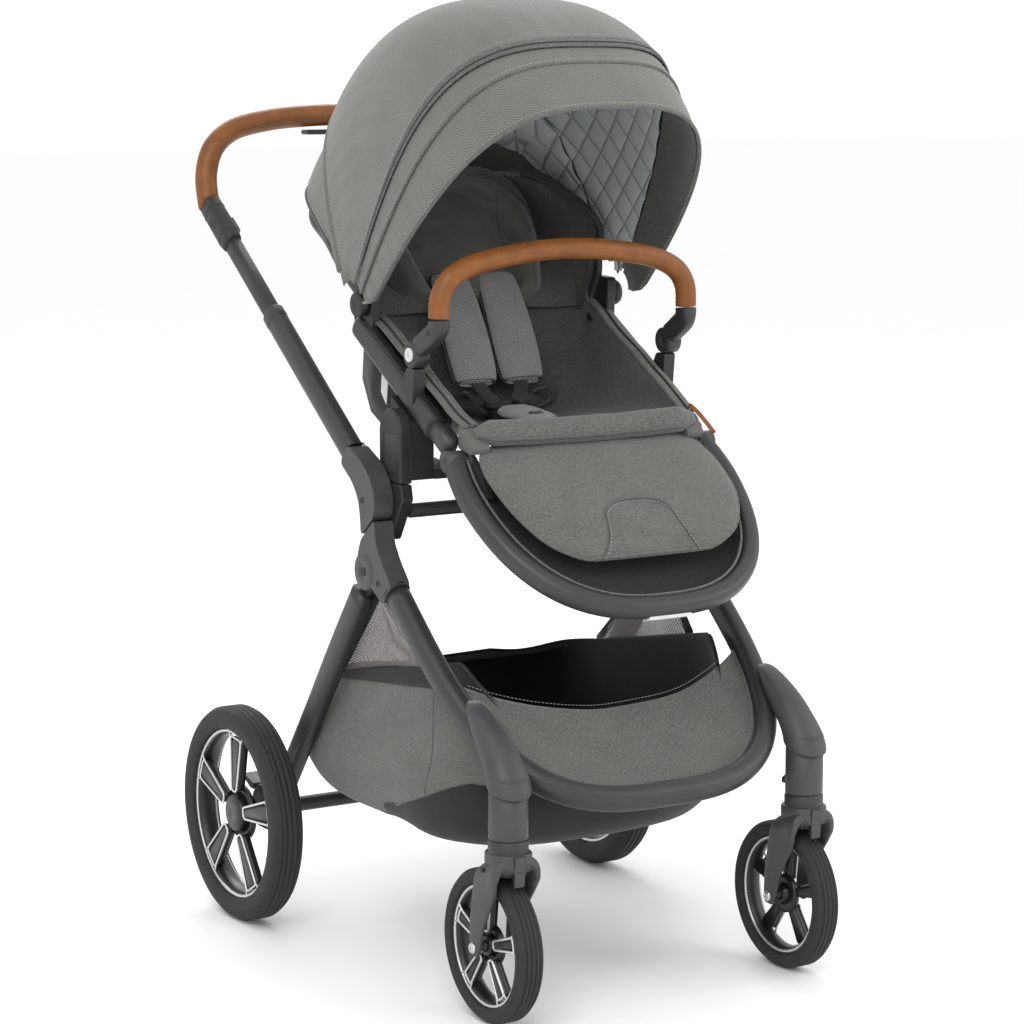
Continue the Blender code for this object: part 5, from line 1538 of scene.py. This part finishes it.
def build_footrest():
    """The footrest: tube, netting, pad, piping and the stitched panel."""
    half = loop_half(FOOT_START, 0.1895, 0.023, 0.2310, power=2.6, pinch=0.0080)
    path = mirror_path(half)
    normal = (0, -math.sin(SLOPE), math.cos(SLOPE))
    tube("footrest_tube", path, rounded(0.0135, 0.0120, 2.5, 40), normal, "tube", "footrest",
         ["footrest_frame"],
         round_ends=0.002)
    inner = [slope_point(p.x * 0.925, max(0.0, -(p.y - FOOT_START.y) / math.cos(SLOPE)) * 0.955,
                         0.0035, FOOT_START)
             for p in path]
    cord_line("footrest_inner_piping", [p + Vector(normal) * 0.0060 for p in inner], 0.0016,
              "heather", "footrest",
              normal=normal)
    rows = []
    for k in range(25):
        t = k / 24
        rows.append([Vector((p.x * (1 - t), p.y * (1 - t) + FOOT_START.y * t - 0.01 * t,
                             0)) for p in inner])
    rows = [[Vector((q.x, q.y, FOOT_START.z + (q.y - FOOT_START.y) * math.tan(SLOPE) - 0.004
                     - 0.010 * math.sin(math.pi * 0.5 * min(1.0, 2.5 * k / 24)))) for q in row]
            for k, row in enumerate(rows)]
    net = finish_piece(skin("footrest_net", rows), "black_net", "footrest")
    backing = [[q + Vector((0, 0, -0.002)) for q in row] for row in rows]
    thicken(finish_piece(skin("footrest_net_backing", backing), "black_cloth", "footrest"), 0.0008,
            0.0)
    thicken(net, 0.0006, 0.0)
    crown = lambda v, a, b: (0.0035 * (1 - a * a) * math.sin(math.pi * min(1.0, max(0.0, v)))
                             + 0.0010 * noise.noise(Vector((a * 3.0, v * 4.0, 5.0))))
    pad = pad_rows(FOOT_PAD, 3.4, 120, crown, per_span=12)
    piece = finish_piece(skin("footrest_cushion", pad, wrap=True, caps=True), "heather", FOOT_TURN,
                         ["footrest_pad"])
    left = [max(ring, key=lambda q: -q.x) for ring in pad]
    right = [max(ring, key=lambda q: q.x) for ring in pad]
    border = left[-8:3:-1] + [p for p in sorted(pad[3], key=lambda p: p.x) if p.z > left[3].z + 0.001] + right[4:-7]
    cord_line("footrest_piping", border, 0.0022, "heather", FOOT_TURN, normal=normal)
    arch = []
    for k in range(49):
        t = k / 48
        angle = math.pi * (1 - max(0.0, min(1.0, (t - 0.25) / 0.5)))
        rise = min(1.0, 4 * min(t, 1 - t))
        across = (0.070 - 0.020 * rise) * math.copysign(abs(math.cos(angle)) ** 0.75,
                                                        math.cos(angle))
        v = 0.04 + 0.28 * rise + 0.10 * max(0.0, math.sin(angle)) ** 0.8
        arch.append(pad_top(pad, v, across) + Vector(normal) * 0.0008)
    arch = curve(arch[::3], 5)
    cord_line("footrest_panel_seam", arch, 0.0014, "piping", "footrest", normal=normal)
    stitches("footrest_panel_stitch", [p + Vector((0, -0.0035, -0.0020)) for p in arch], 0.0050,
             0.0032, 0.00045,
             "thread", "footrest")
    for tag, side in SIDES:
        web = [(-0.2020, 0.6640), (-0.2360, 0.6380), (-0.2520, 0.6120), (-0.2080, 0.6220)]
        plate(f"footrest_web_{tag}", fillet(web, 0.004), 0.1560, 0.1640, "black_cloth", "footrest",
              side, 0.002)
    strip = [(-0.4010, 0.4810), (-0.3850, 0.4760), (-0.3840, 0.4720), (-0.4000, 0.4765)]
    plate("footrest_strip", strip, -0.030, 0.030, "white", "footrest", 1.0, 0.0008)
    for tag, side in SIDES:
        knob = [(side * 0.1690, 0.001), (side * 0.1690, 0.0125), (side * 0.1940, 0.0135),
                (side * 0.1950, 0.0120),
                (side * 0.1950, 0.001)]
        lathe(f"footrest_knuckle_{tag}", knob, (0, -0.1990, 0.6545), "shell", "footrest", 56)


# ---------------------------------------------------------------- basket
BASKET_MIDDLE = 0.095  # how far the basket's middle lies in front of the origin
LINER_SHARE, LINER_LIFT = 0.990, 0.002  # the inner bag, as a share of the outer one, and its height over it
BAND_PROUD = 0.0008  # how far the rim band stands out from the bag


def basket_ring(half_width, front, rear, height, count=160):
    """A closed plan outline, squarer at the rear, whose height is a function of x and y."""
    ring = []
    for k in range(count):
        turn = 2 * math.pi * (k + 0.5) / count
        c, s = math.cos(turn), math.sin(turn)
        power = 8.0 if s > 0 else 3.0
        x = half_width * math.copysign(abs(c) ** (2 / power), c)
        y = -0.0950 + (rear if s > 0 else front) * math.copysign(abs(s) ** (2 / power), s)
        ring.append(Vector((x, y, height(x, y))))
    return ring


def rim_height(x, y):
    """The basket's upper edge: in the front tube's plane at the front, dipping in the middle, then falling to the rear."""
    dip = 0.034 * max(0.0, 1.0 - (x / 0.17) ** 2) * max(0.0, min(1.0, (-0.20 - y) / 0.10))
    front = 0.3600 + (y + 0.2775) * math.tan(SLOPE)
    wavy = 0.004 * math.sin(x * 38.0) * max(0.0, min(1.0, (y - 0.05) / 0.08))
    return min(front, 0.4060 - (y + 0.2050) * 0.200) - dip + wavy


BASKET_LEVELS = ((0.105, 0.080, 0.120, lambda x, y: 0.1690),
                 (0.160, 0.130, 0.200, lambda x, y: 0.1710),
                 (0.186, 0.165, 0.258, lambda x, y: 0.1830),
                 (0.201, 0.200, 0.298, lambda x, y: 0.2120),
                 (0.208, 0.230, 0.314, lambda x, y: 0.2500),
                 (0.200, 0.246, 0.284, lambda x, y: 0.30 + (y + 0.1) * 0.05),
                 (0.194, 0.236, 0.240, rim_height))


def basket_point(rows, v, k):
    """A point of the basket's loft: v from the floor at 0 to the rim at 1."""
    place = v * (len(rows) - 1)
    i = min(int(place), len(rows) - 2)
    return rows[i][k].lerp(rows[i + 1][k], place - i)


def basket_part(rows, columns, low, high, count):
    """The part of the basket's loft between two lines, each a function of the point's y."""
    part = []
    for i in range(count + 1):
        row = []
        for k in columns:
            y = rows[len(rows) // 2][k].y
            a, b = low(y), high(y)
            row.append(basket_point(rows, a + (b - a) * i / count, k))
        part.append(row)
    return part


def build_basket():
    """The sagging storage basket: sides, black floor and band, apron, net gussets and piping."""
    rings = [basket_ring(*level) for level in BASKET_LEVELS]
    columns = [curve(col, 8) for col in zip(*rings)]
    rows = [list(row) for row in zip(*columns)]
    for i, row in enumerate(rows):
        slack = math.sin(math.pi * i / (len(rows) - 1))
        for p in row:
            p += Vector((wave(p, 9.0, 0.0045, 1.0), wave(p, 9.0, 0.0045, 2.0),
                         wave(p, 11.0, 0.0030, 3.0))) * slack
    count = len(rows[0])

    def seam(y):
        return 0.14 + 0.60 * max(0.0, min(1.0, (0.10 - y) / 0.32)) ** 1.1

    every = list(range(count))
    lower = basket_part(rows, every, lambda y: 0.0, seam, 24)
    cloth("basket_floor", lower, "black_cloth", "chassis", 0.0016, ["basket"],
          wrap=True)
    base = new_piece("basket_base", rows[0], [list(range(count))])
    finish_piece(base, "black_cloth", "chassis")
    thicken(base, 0.0016, 0.0)
    inside = [[Vector((p.x * LINER_SHARE, (p.y + BASKET_MIDDLE) * LINER_SHARE - BASKET_MIDDLE,
                       p.z + LINER_LIFT))
               for p in row] for row in rows[2:]]
    cloth("basket_inside", inside, "black_cloth", "chassis", 0.0010, wrap=True)

    def is_front(k):
        return rows[len(rows) // 2][k].y < -0.2550

    start = next(k for k in every if not is_front(k) and is_front(k - 1))
    order = [(start + k) % count for k in every]
    back = [k for k in order if not is_front(k)]
    front = [k for k in order if is_front(k)]
    front = [(front[0] - 1) % count] + front + [(front[-1] + 1) % count]
    cloth("basket_sides", basket_part(rows, back, seam, lambda y: 0.95, 30), "heather", "chassis",
          0.0020)
    band = basket_part(rows, back, lambda y: 0.945, lambda y: 1.0, 6)
    band = [[p + Vector((p.x, p.y + BASKET_MIDDLE,
                         0)).normalized() * BAND_PROUD for p in row] for row in band]
    cloth("basket_band", band, "black_cloth", "chassis", 0.0024)
    cloth("basket_front", basket_part(rows, front, seam, lambda y: 0.86, 20), "black_cloth",
          "chassis", 0.0020)
    line = [basket_part(rows, back, seam, seam, 1)[0][j] for j in range(len(back))]
    cord_line("basket_floor_seam", line, 0.0015, "piping", "chassis")
    for j, place in enumerate((0.12, 0.30, 0.70, 0.88)):
        k = back[int(place * (len(back) - 1))]
        low = seam(rows[len(rows) // 2][k].y)
        cord_line(f"basket_seam_{j}",
                  [basket_point(rows, low + (0.95 - low) * i / 20, k) for i in range(21)], 0.0018,
                  "piping", "chassis", normal=(0, 1, 0))
    build_basket_front_panel()
    for tag, side in SIDES:
        build_gusset(tag, side)


def build_basket_front_panel():
    """The cloth apron laced inside the front loop, with its piping and hollowed upper edge."""
    half = loop_half(LOOP_START, 0.2222 * 0.925, 0.035, 0.2900)
    rows = []
    low = [p for p in half if p.z < 0.3900]
    for p in low:
        s = (LOOP_START.y - p.y) / math.cos(SLOPE)
        rows.append((p.x, s))
    outline = [(x, s) for x, s in rows]
    top_s, bottom_s = outline[0][1], outline[-1][1]
    grid = []
    for i in range(33):
        t = i / 32
        row = []
        for j in range(81):
            a = -1 + 2 * j / 80
            hollow = top_s + 0.062 * (1 - abs(a) ** 2.4)
            s = hollow + (bottom_s - hollow) * t
            wide = next((x0 + (x1 - x0) * (s - s0) / max(s1 - s0, 1e-9) for (x0, s0), (x1, s1) in
                         zip(outline, outline[1:]) if s0 <= s <= s1),
                         outline[-1][0] if s > bottom_s else outline[0][0])
            sag = 0.0060 * math.sin(math.pi * t) * (1 - a * a)
            row.append(slope_point(a * wide, s,
                                   -0.0020 - sag) + Vector((0, 0, wave((a, t, 0), 3.0, 0.0015))))
        grid.append(row)
    cloth("basket_apron", grid, "heather", "chassis", 0.0022)
    edge = [row[0] for row in grid] + grid[-1][1:-1] + [row[-1] for row in reversed(grid)]
    cord_line("basket_apron_piping", [p + Vector((0, -0.0008, 0.0010)) for p in edge], 0.0021,
              "heather", "chassis")
    stitches("basket_apron_stitch", [p + Vector((0, 0.0035, 0.0050)) for p in grid[0][2:-2]],
             0.0050, 0.0032, 0.00045,
             "thread", "chassis")


def build_gusset(tag, side):
    """The see-through net between the rear leg, the front tube and the basket's band."""
    x = side * 0.2100
    low = side * 0.1975
    apex, rear, front = Vector((x, -0.0650, 0.4780)), Vector((low, 0.0660,
                                                              0.3520)), Vector((low, -0.1560,
                                                                                0.3960))
    grid = []
    for i in range(17):
        t = i / 16
        a, b = apex.lerp(rear, t), apex.lerp(front, t)
        grid.append([a.lerp(b, j / 16) + Vector((side * -0.006 * math.sin(math.pi * j / 16) * t
                                                 + wave((j, i, 0), 0.35, 0.0016), 0,
                                                 0)) for j in range(17)])
    cloth(f"gusset_net_{tag}", grid, "net", "chassis", 0.0005)
    for k, (a, b) in enumerate(((apex, rear), (apex, front))):
        tube(f"gusset_tape_{k}_{tag}", [a.lerp(b, t / 8) for t in range(9)],
             rounded(0.0060, 0.0009, 3.0, 12), (0, 1, 0.4),
             "black_cloth", "chassis")


def build_soft():
    """Every cloth, leather and padded piece, and the parts they are fixed to."""
    build_canopy()
    build_seat_cloth()
    build_backrest()
    build_head_insert()
    build_harness()
    build_rails()
    build_bumper()
    build_footrest()
    build_basket()


# ---------------------------------------------------------------- studio
def build_studio():
    """A plain pale floor, soft lights and the camera."""
    size = 30.0
    floor = new_piece("floor", [(-size, -size, -0.0005), (size, -size, -0.0005), (size, size, -0.0005), (-size, size, -0.0005)],
                      [[0, 1, 2, 3]])
    ground = Nodes("floor_paint", 0.9, specular=0.1)
    speck = ground.noise(ground.scaled("Object", (1, 1, 1)), 3.0, 2.0)
    ground.colour(ground.mix(speck, (0.94, 0.94, 0.94), (0.95, 0.95, 0.95)))
    floor.data.materials.append(ground.mat)
    world = bpy.data.worlds.new("studio")
    bpy.context.scene.world = world
    world.use_nodes = True
    back = world.node_tree.nodes["Background"]
    back.inputs["Color"].default_value = (1.0, 1.0, 1.0, 1.0)
    back.inputs["Strength"].default_value = WORLD_LIGHT
    middle = Vector((0.0, 0.0, 0.55))
    for name, place, power, width in LIGHTS:
        lamp = bpy.data.lights.new(name, "AREA")
        lamp.energy = power
        lamp.shape = "SQUARE"
        lamp.size = width
        holder = bpy.data.objects.new(name, lamp)
        holder.location = place
        holder.rotation_euler = (middle - Vector(place)).to_track_quat("-Z", "Y").to_euler()
        bpy.context.scene.collection.objects.link(holder)
    lens = bpy.data.cameras.new("camera")
    lens.lens = 3000.0 * 36.0 / 1024.0
    lens.sensor_width = 36.0
    camera = bpy.data.objects.new("camera", lens)
    camera.location = (-1.981, -3.3095, 1.142)
    camera.rotation_euler = Vector((0.5116, 0.8458, -0.1512)).to_track_quat("-Z", "Y").to_euler()
    bpy.context.scene.collection.objects.link(camera)
    bpy.context.scene.camera = camera
    bpy.context.scene.view_settings.view_transform = "Standard"


def main():
    """Build every piece, then the studio."""
    build_chassis()
    build_running_gear()
    build_handle()
    build_soft()
    build_studio()
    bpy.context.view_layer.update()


main()
